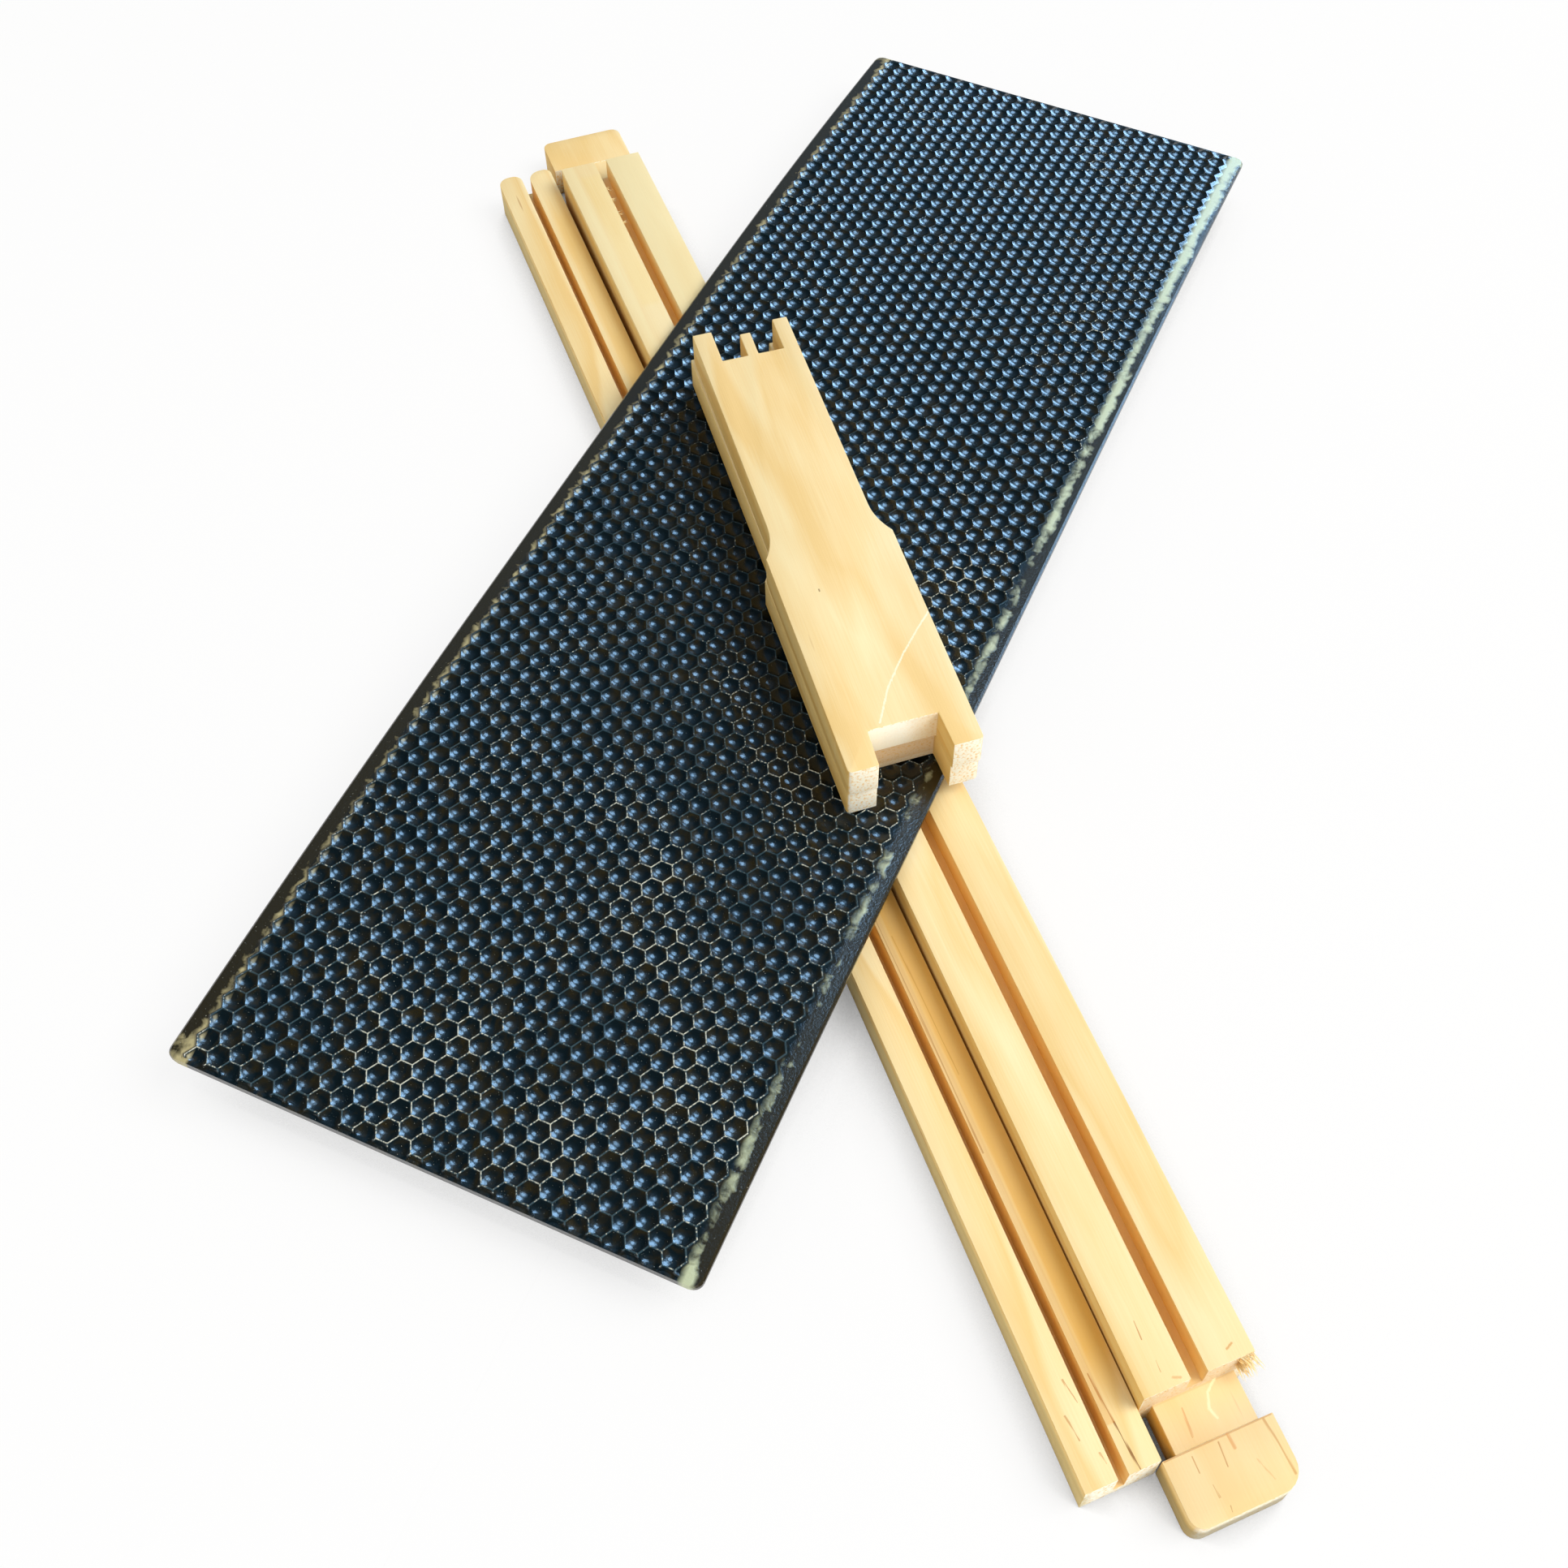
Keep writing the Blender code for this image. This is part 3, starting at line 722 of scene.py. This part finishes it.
def top_bar_mesh(settings):
    """Top bar with its groove up: a thicker middle, and a neck and a rounded lug at both ends."""
    half_length, half_width, half_neck = 241.3, 13.5, settings.neck / 2 / MM
    shoulder, lug = 214.8, 225.9
    top, lug_top, neck_top = 19.0, 9.8, 9.5
    near_left, near_right, far_left, far_right = 3.4, 5.4, 2.6, 2.8
    groove_left, groove_right, groove_floor = -2.15, 1.95, 11.4
    past = 5.0
    right = [(half_width, lug, 0), (half_neck, lug, 0), (half_neck, shoulder, 0), (half_width, shoulder, 0)]
    corners = [(half_width, -half_length, near_right), *[(x, -y, r) for x, y, r in right]]
    corners += [*reversed(right), (half_width, half_length, far_right), (-half_width, half_length, far_left)]
    corners += [*[(-x, y, r) for x, y, r in right], *[(-x, -y, r) for x, y, r in reversed(right)]]
    corners += [(-half_width, -half_length, near_left)]
    bar = prism("top bar", rounded(corners), 0.0, top)
    wide = half_width + past
    tools = []
    for way in (-1, 1):
        ends = sorted((way * shoulder, way * (half_length + past)))
        tools.append(prism("step", block(-wide, wide, *ends), lug_top, top + past))
        ends = sorted((way * shoulder, way * lug))
        tools.append(prism("neck", block(-wide, wide, *ends), neck_top, top + past))
    tools.append(prism("groove", block(groove_left, groove_right, -half_length - past, half_length + past),
                       groove_floor, top + past))
    carve(bar, tools)
    ease(bar, settings.edge / MM)
    # Torn fibres at a corner of the near shoulder, short ones along both shoulders, curls at the groove's lip
    spots = [(34, (9.4, -214.6, 13.0), (13.2, -214.5, 18.7), (0.9, -3.0, -0.3), (1.2, 1.6, 1.3), 0.5),
             (14, (9.8, -214.6, 18.4), (13.2, -214.0, 18.8), (0.6, -1.4, 0.5), (0.9, 0.7, 0.4), 0.4)]
    for way in (-1, 1):
        for left, right in ((-13.0, groove_left - 0.4), (groove_right + 0.4, 13.0)):
            spots.append((26, (left, way * (shoulder - 0.2), 18.3), (right, way * (shoulder - 0.1), 18.7),
                          (0.0, way * 0.45, 0.1), (0.5, 0.3, 0.25), 0.16))
    for along in (201.0, 194.0, 187.5, 181.5):
        spots.append((4, (groove_left - 0.2, along - 1.0, 18.8), (groove_left, along + 1.0, 18.9),
                      (1.3, -0.7, 0.6), (0.6, 1.5, 0.3), 0.4))
    return add_splinters(plain_mesh(bar, tools), spots, 7)


def bottom_bar_mesh(settings):
    """Bottom bar with its deep groove up, square at the near end and with rounded rail tips at the far."""
    half_length, half_width, top = 225.9, 9.05, 11.7
    groove_left, groove_right, groove_floor = -1.25, 1.35, 2.9
    past = 5.0
    tip_right, tip_left = 2.4, 3.8
    corners = [(-half_width, -half_length, 0), (half_width, -half_length, 0),
               (half_width, half_length, tip_right), (-half_width, half_length, tip_left)]
    bar = prism("bottom bar", rounded(corners), 0.0, top)
    flare_left, flare_right, steps = 3.0, 4.2, 6
    bends = [math.pi / 2 * step / steps for step in range(steps + 1)]
    outline = [(groove_left, -half_length - past), (groove_right, -half_length - past)]
    outline += [(groove_right + flare_right * (1 - math.cos(bend)),
                 half_length - flare_right * (1 - math.sin(bend))) for bend in bends]
    outline += [(groove_right + flare_right, half_length + past),
                (groove_left - flare_left, half_length + past)]
    outline += [(groove_left - flare_left * (1 - math.cos(bend)),
                 half_length - flare_left * (1 - math.sin(bend))) for bend in reversed(bends)]
    groove = prism("groove", outline, groove_floor, top + past)
    carve(bar, [groove])
    ease(bar, settings.edge / MM)
    return plain_mesh(bar, [groove])


def end_bar_mesh(settings):
    """End bar lying on its face: notched wide head at the near end, waist, forked foot at the far end."""
    half_length, wide, narrow, thick = 79.35, 17.8, 14.35, 10.65
    notch_floor, notch_inner, notch_outer = -68.6, 9.35, 9.8
    slot_floor, fork, tongue, tongue_tip, fork_shift = 66.9, 9.25, 1.6, 76.0, 0.6
    waist, waist_radius, waist_steps, foot = -8.25, 19.5, 8, 1.2
    sweep = math.acos(1 - (wide - narrow) / waist_radius)
    waist_top = waist + waist_radius * math.sin(sweep)
    arc = []
    for step in range(waist_steps + 1):
        angle = sweep * (1 - step / waist_steps)
        arc.append((narrow + waist_radius * (1 - math.cos(angle)),
                    waist_top - waist_radius * math.sin(angle), 0))
    corners = [(notch_inner, notch_floor, 0), (notch_outer, -half_length, 0), (wide, -half_length, foot), *arc,
               (narrow, half_length, 0), (fork + fork_shift, half_length, 0),
               (fork + fork_shift, slot_floor, 0), (tongue + fork_shift, slot_floor, 0),
               (tongue + fork_shift, tongue_tip, 0), (-tongue + fork_shift, tongue_tip, 0),
               (-tongue + fork_shift, slot_floor, 0), (-fork + fork_shift, slot_floor, 0),
               (-fork + fork_shift, half_length, 0), (-narrow, half_length, 0),
               *[(-x, y, r) for x, y, r in reversed(arc)], (-wide, -half_length, foot),
               (-notch_outer, -half_length, 0), (-notch_inner, notch_floor, 0)]
    bar = prism("end bar", rounded(corners), 0.0, thick)
    ease(bar, settings.edge / MM)
    return plain_mesh(bar)


# Stains, painted light and painted shade of the bars: middle and half size of a box (mm),
# blur (mm, for all axes or for each), colour, amount
TOP_BAR_STAINS_AND_SHADE = (
    # Painted shade: the groove's walls and floor, deepened to amber as if by light bounced inside it
    ((-0.1, 0.0, 15.1), (2.0, 242.0, 3.7), 0.35, "#F6C47A", 0.45),
    ((-5.2, 175.0, 19.0), (2.6, 32.0, 0.5), 2.2, "#F9DC90", 0.35),
    ((-12.0, 170.0, 19.0), (1.6, 45.0, 0.5), (1.6, 20.0, 1.6), "#FFF2C2", 0.5),
    ((7.5, 180.0, 19.0), (6.0, 50.0, 0.5), (6.0, 25.0, 6.0), "#FFF2C0", 0.6),
    ((0.0, -220.3, 9.6), (10.2, 5.0, 0.4), 0.6, "#F7D6A2", 0.55),
    # Painted shade on the step face of the near shoulder
    ((0.0, -214.8, 14.0), (13.2, 0.3, 4.6), 0.3, "#E6C088", 0.6),
    ((-2.0, -234.0, 9.8), (11.0, 7.0, 0.3), 2.5, "#F8D8A0", 0.5),
    # Painted shade: the lower sides of the near lug and neck, darker towards the floor
    ((0.0, -235.0, 2.5), (14.0, 9.5, 2.5), 3.2, "#8F7C4C", 0.7),
)
BOTTOM_BAR_STAINS_AND_SHADE = (
    # Painted shade: the groove's walls and floor, deepened to amber as if by light bounced inside it
    ((0.05, 0.0, 7.2), (1.3, 226.0, 4.2), 0.35, "#F6C47A", 0.4),
    # Painted shadow of the top bar on the right rail, weaker on the far half
    ((6.3, -80.0, 11.7), (2.3, 119.0, 0.5), (1.6, 14.0, 1.6), "#F6BE56", 0.8),
    ((6.3, 100.0, 11.7), (2.3, 98.0, 0.5), (1.6, 20.0, 1.6), "#F8CC70", 0.5),
    ((2.2, -120.0, 11.7), (0.7, 95.0, 0.4), 0.5, "#E6B468", 0.5),
    # Painted shade: the lower part of the left side is darkened
    ((-9.1, 0.0, 4.0), (0.5, 226.0, 4.0), 2.0, "#C4B47C", 0.55),
)
LOWER_END_BAR_PAINTED_SHADE = (
    # Painted shade on the face at the inner end of the notch, over its whole height
    ((0.0, -68.6, 6.5), (9.3, 0.4, 4.0), 0.6, "#D6AE74", 0.7),
    ((0.0, -68.6, 1.2), (9.3, 0.4, 1.2), 0.6, "#E0BC84", 0.6),
)
UPPER_END_BAR_PAINTED_LIGHT_AND_SHADE = (
    # Painted shadow of the right foot on the right part of the face at the inner end of the notch
    ((6.3, -68.6, 5.1), (2.8, 0.3, 4.8), (4.0, 0.4, 0.4), "#EBCB94", 0.6),
    # Painted light: the left part of the same face, brightened to near white
    ((-5.0, -68.6, 5.1), (4.5, 0.3, 4.8), (9.0, 0.4, 0.4), "#FFFFF2", 0.9),
)

# Single marks of the bars: height (mm), points (mm), width (mm), colour, amount
TOP_BAR_MARKS = (
    (19.0, ((-8.2, -199.3), (-8.4, -203.4)), 0.45, "#C98F4E", 0.8),
    (19.0, ((-7.4, -208.5), (-7.6, -211.0)), 0.35, "#C98F4E", 0.6),
    (19.0, ((8.0, -212.1), (9.4, -211.4)), 0.7, "#D79A50", 0.7),
    (19.0, ((-5.6, -213.0), (-4.2, -213.6)), 0.8, "#E2B070", 0.7),
    (9.5, ((5.4, -214.8), (2.4, -216.9), (1.15, -220.0), (1.8, -222.4)), 0.8, "#FFF3C6", 0.8),
    (9.5, ((-4.4, -217.7), (-4.9, -223.9)), 0.4, "#DDA566", 0.7),
    (9.8, ((-13.0, -226.1), (13.0, -226.1)), 0.55, "#C98F50", 0.6),
    (9.8, ((2.2, -225.9), (2.4, -229.3)), 0.8, "#E2A25C", 0.7),
    (9.8, ((-0.4, -226.9), (-0.85, -232.0)), 0.45, "#C98F4E", 0.75),
    (9.8, ((-7.0, -227.4), (-7.1, -230.9)), 0.4, "#C98F4E", 0.7),
    (9.8, ((-5.5, -234.1), (-5.4, -236.8)), 0.4, "#C98F4E", 0.6),
    (9.8, ((-4.0, -239.1), (-4.25, -240.3)), 0.35, "#B98145", 0.6),
    (9.8, ((11.0, -226.4), (11.6, -232.0), (12.0, -238.7)), 0.7, "#D29A50", 0.7),
    (9.8, ((5.6, -233.0), (7.4, -238.0)), 0.5, "#E0B272", 0.5),
)
BOTTOM_BAR_MARKS = (
    (11.7, ((3.1, -215.1), (4.0, -225.7)), 0.55, "#8E5A22", 0.85),
    (11.7, ((2.4, -204.0), (3.1, -215.1)), 0.45, "#C07A30", 0.7),
    (11.7, ((-3.3, -203.0), (-2.4, -208.5)), 0.4, "#C98F4E", 0.7),
    (11.7, ((-6.1, -210.0), (-5.4, -215.7)), 0.4, "#C98F4E", 0.7),
    (11.7, ((-2.5, -219.5), (-2.15, -222.0)), 0.35, "#C98F4E", 0.6),
    (11.7, ((1.9, -60.0), (2.1, -110.0), (1.9, -150.0)), 0.5, "#B87A38", 0.6),
    (11.7, ((4.2, -90.0), (4.6, -130.0)), 0.4, "#D99A3C", 0.6),
)
UPPER_END_BAR_MARKS = (
    (10.65, ((17.8, -37.5), (12.9, -42.3), (6.9, -48.7), (0.0, -57.3), (-5.7, -67.3)), 0.7, "#FFF8DC", 0.75),
    (10.65, ((-7.5, -22.2), (-7.5, -22.8)), 0.6, "#9A7A4E", 0.8),
)


class HIVEFRAME_OT_foundation_sheet(bpy.types.Operator):
    """Make the waxed black sheet with its cells on both faces"""
    bl_idname = "hiveframe.foundation_sheet"
    bl_label = "Foundation sheet"

    def execute(self, context):
        settings = context.scene.hive_sheet
        material = sheet_material(settings)
        mesh = make_sheet_mesh(settings, material)
        piece = finish_piece("foundation_comb", mesh, SHEET_LIES, material,
                             "foundation_sheet", smooth_angle=62.0)
        # The plain borders stay flat, so that the rounding of the rim does not spread over them
        border_starts = 65.2
        own = set_matrix(SHEET_LIES).inverted()
        for face in piece.data.polygons:
            if abs((own @ face.center).x) > border_starts:
                face.use_smooth = False
        return {"FINISHED"}


class HIVEFRAME_OT_top_bar(bpy.types.Operator):
    """Make the grooved top bar"""
    bl_idname = "hiveframe.top_bar"
    bl_label = "Top bar"

    def execute(self, context):
        settings = context.scene.hive_wood
        material = pine_material("planed pine, top bar", TOP_BAR_LIES, settings, (6.0, -60.0), 7.5, 1.0,
                                 TOP_BAR_STAINS_AND_SHADE, TOP_BAR_MARKS)
        finish_piece("top_bar_wood", top_bar_mesh(settings), TOP_BAR_LIES, material, "top_bar")
        return {"FINISHED"}


class HIVEFRAME_OT_bottom_bar(bpy.types.Operator):
    """Make the grooved bottom bar"""
    bl_idname = "hiveframe.bottom_bar"
    bl_label = "Bottom bar"

    def execute(self, context):
        settings = context.scene.hive_wood
        material = pine_material("planed pine, bottom bar", BOTTOM_BAR_LIES, settings, (-30.0, -45.0), 6.0,
                                 2.0, BOTTOM_BAR_STAINS_AND_SHADE, BOTTOM_BAR_MARKS)
        mesh = bottom_bar_mesh(settings)
        finish_piece("bottom_bar_wood", mesh, BOTTOM_BAR_LIES, material, "bottom_bar")
        return {"FINISHED"}


class HIVEFRAME_OT_end_bars(bpy.types.Operator):
    """Make the two stacked end bars"""
    bl_idname = "hiveframe.end_bars"
    bl_label = "End bars"

    def execute(self, context):
        settings = context.scene.hive_wood
        for name, lies, pith, seed, stains_and_shade, marks in (
                ("lower_end_bar", LOWER_END_BAR_LIES, (-40.0, 30.0), 3.0, LOWER_END_BAR_PAINTED_SHADE, ()),
                ("upper_end_bar", UPPER_END_BAR_LIES, (25.0, -70.0), 4.0, UPPER_END_BAR_PAINTED_LIGHT_AND_SHADE,
                 UPPER_END_BAR_MARKS)):
            title = "planed clear pine, " + name.replace("_", " ")
            material = pine_material(title, lies, settings, pith, 9.0, seed, stains_and_shade, marks)
            finish_piece(name + "_wood", end_bar_mesh(settings), lies, material, name)
        return {"FINISHED"}


def aim(thing, place, target):
    """Put a lamp at a place and point it at a target."""
    turn = (Vector(target) - Vector(place)).to_track_quat("-Z", "Y")
    thing.matrix_world = Matrix.Translation(place) @ turn.to_matrix().to_4x4()


def soft_lamp(name, place, target, size, power, shade):
    """A rectangular soft lamp."""
    data = bpy.data.lights.new(name, "AREA")
    data.shape = "RECTANGLE"
    data.size, data.size_y = size
    data.energy = power
    data.color = shade[:3]
    lamp = bpy.data.objects.new(name, data)
    bpy.context.scene.collection.objects.link(lamp)
    aim(lamp, place, target)
    return lamp


def seen_share(tree):
    """One for rays of the eye, of reflections and of glass, and nothing for the light on a surface."""
    rays = add(tree, "ShaderNodeLightPath").outputs
    seen = add(tree, MATH, {0: rays["Is Camera Ray"], 1: rays["Is Glossy Ray"]}, operation="MAXIMUM")
    return add(tree, MATH, {0: seen, 1: rays["Is Transmission Ray"]}, operation="MAXIMUM")


def floor_material(settings):
    """Matt pale card: nearly white to the eye and in reflections, and it still takes the object's shadow."""
    material, tree, shader = new_material("matt pale card")
    shader.inputs["Roughness"].default_value = 0.9
    shader.inputs["Specular IOR Level"].default_value = 0.0
    open_sky = add(tree, "ShaderNodeAmbientOcclusion", {"Distance": 0.03}, samples=4).outputs["AO"]
    share = add(tree, MAP_RANGE, {"Value": open_sky, "From Min": 0.15, "From Max": 0.6, "To Max": 0.86})
    # Painted shade: where little of the sky is open, the floor's colour turns to the dark gap colour
    painted_gap_shade = add(tree, MAP_RANGE, {"Value": open_sky, "From Min": 0.15, "From Max": 0.55})
    card = add(tree, MIX, {"Factor": painted_gap_shade, "A": settings.gap, "B": settings.floor}, data_type="RGBA")
    tree.links.new(card.outputs[2], shader.inputs["Base Color"])
    share = add(tree, MATH, {0: seen_share(tree), 1: share}, operation="MULTIPLY")
    glow = add(tree, "ShaderNodeEmission", {"Color": (1, 1, 1, 1), "Strength": 1.0})
    mixed = add(tree, "ShaderNodeMixShader", {0: share, 1: shader, 2: glow})
    output = next(node for node in tree.nodes if node.type == "OUTPUT_MATERIAL")
    tree.links.new(mixed.outputs[0], output.inputs["Surface"])
    return material


class HIVEFRAME_OT_stage(bpy.types.Operator):
    """Set the camera, the floor and the lamps"""
    bl_idname = "hiveframe.stage"
    bl_label = "Stage"

    def execute(self, context):
        settings = context.scene.hive_stage
        scene = context.scene
        scene.view_settings.view_transform = "Standard"

        floor_half, floor_drop = 6.0, -0.0002
        shape = bmesh.new()
        outline = block(-floor_half, floor_half, -floor_half, floor_half)
        shape.faces.new([shape.verts.new((x, y, floor_drop)) for x, y in outline])
        floor = stand("floor", shape)
        floor.data.materials.append(floor_material(settings))

        middle = (0.0, 0.03, 0.02)
        for name, place, size, power, shade in (
                ("key", (2.3, -1.3, 3.3), (2.5, 2.5), settings.key_power, (1.0, 0.985, 0.95)),
                ("side", (-1.7, -0.5, 0.9), (2.4, 1.8), settings.side_power, (1.0, 0.93, 0.8)),
                ("front", (0.2, -2.2, 0.8), (2.4, 1.4), settings.front_power, (1.0, 0.99, 0.96))):
            lamp = soft_lamp(name, place, middle, size, power, shade)
            lamp.visible_glossy = False
        for name, place, size, power in (
                ("window", (1.06, 0.645, 0.41), (0.66, 0.68), settings.window_power),
                ("skylight", (0.561, 0.212, 1.178), (0.5, 0.55), settings.skylight_power),
                ("side window", (1.29, -0.04, 0.16), (0.5, 0.27), settings.side_window_power)):
            panel = soft_lamp(name, place, middle, size, power, settings.window)
            panel.visible_diffuse = False

        world = bpy.data.worlds.new("surroundings")
        world.use_nodes = True
        tree = world.node_tree
        tree.nodes.clear()
        toward = add(tree, "ShaderNodeTexCoord").outputs["Generated"]
        rise = add(tree, "ShaderNodeSeparateXYZ", {0: toward}).outputs["Z"]
        low = add(tree, MAP_RANGE, {"Value": rise, "From Min": 0.16, "From Max": 0.06})
        toward = add(tree, VECTOR_MATH, {0: toward, 1: (0.62, 0.42, 0.66)}, operation="DOT_PRODUCT")
        sky = add(tree, MAP_RANGE, {"Value": toward.outputs["Value"], "From Min": 0.45, "From Max": 1.0,
                                    "To Min": 0.06, "To Max": settings.glow})
        sky = add(tree, VECTOR_MATH, {0: settings.window[:3], "Scale": sky}, operation="SCALE")
        behind = add(tree, MIX, {"Factor": low, "A": sky, "B": (1, 1, 1, 1)}, data_type="RGBA")
        around = add(tree, "ShaderNodeBackground", {"Color": (0.97, 0.985, 1.0, 1.0),
                                                    "Strength": settings.fill})
        behind = add(tree, "ShaderNodeBackground", {"Color": behind.outputs[2]})
        mixed = add(tree, "ShaderNodeMixShader", {0: seen_share(tree), 1: around, 2: behind})
        add(tree, "ShaderNodeOutputWorld", {"Surface": mixed})
        scene.world = world

        set_camera(scene)
        return {"FINISHED"}


def set_camera(scene):
    """Camera at the photograph's viewpoint; the picture is an off-centre part of the full view."""
    picture = 1932.0
    focal_pixels, principal_x, principal_y = 2283.0, 1098.56, 812.85
    heading, rise, roll = (math.radians(angle) for angle in (25.148, 53.436, 3.202))
    distance, target = 0.530352, Vector((0.00784, -0.00245, 0.0))
    sensor = 36.0
    back = Vector((-math.sin(heading) * math.cos(rise), -math.cos(heading) * math.cos(rise), math.sin(rise)))
    right = Vector((math.cos(heading), -math.sin(heading), 0.0))
    up = back.cross(right)
    across = right * math.cos(roll) + up * math.sin(roll)
    upward = up * math.cos(roll) - right * math.sin(roll)
    data = bpy.data.cameras.new("camera")
    data.sensor_width = sensor
    data.lens = sensor * focal_pixels / picture
    data.shift_x = 0.5 - principal_x / picture
    data.shift_y = principal_y / picture - 0.5
    data.clip_start = 0.01
    camera = bpy.data.objects.new("camera", data)
    scene.collection.objects.link(camera)
    turn = Matrix((across, upward, back)).transposed()
    camera.matrix_world = Matrix.Translation(target + back * distance) @ turn.to_4x4()
    scene.camera = camera


class HIVEFRAME_PT_panel(bpy.types.Panel):
    """Lists the pieces and the stage"""
    bl_idname = "HIVEFRAME_PT_panel"
    bl_label = "Hive frame kit"
    bl_space_type = "VIEW_3D"
    bl_region_type = "UI"
    bl_category = "Hive frame"

    def draw(self, context):
        for step in STEPS:
            self.layout.operator(step.bl_idname)
        for name in SETTINGS:
            group = getattr(context.scene, name)
            box = self.layout.box()
            for item in group.bl_rna.properties:
                if item.identifier not in ("rna_type", "name"):
                    box.prop(group, item.identifier)


STEPS = (HIVEFRAME_OT_foundation_sheet, HIVEFRAME_OT_top_bar, HIVEFRAME_OT_bottom_bar, HIVEFRAME_OT_end_bars,
         HIVEFRAME_OT_stage)
SETTINGS = {"hive_sheet": SheetSettings, "hive_wood": WoodSettings, "hive_stage": StageSettings}


def register():
    """Register the classes and hang the settings on the scene."""
    for kind in (*SETTINGS.values(), *STEPS, HIVEFRAME_PT_panel):
        bpy.utils.register_class(kind)
    for name, kind in SETTINGS.items():
        setattr(bpy.types.Scene, name, PointerProperty(type=kind))


def unregister():
    """Take the settings and the classes away again."""
    for name in SETTINGS:
        delattr(bpy.types.Scene, name)
    for kind in reversed((*SETTINGS.values(), *STEPS, HIVEFRAME_PT_panel)):
        bpy.utils.unregister_class(kind)


def main():
    """Build every piece and the stage."""
    register()
    bpy.ops.hiveframe.foundation_sheet()
    bpy.ops.hiveframe.top_bar()
    bpy.ops.hiveframe.bottom_bar()
    bpy.ops.hiveframe.end_bars()
    bpy.ops.hiveframe.stage()


if __name__ == "__main__":
    main()
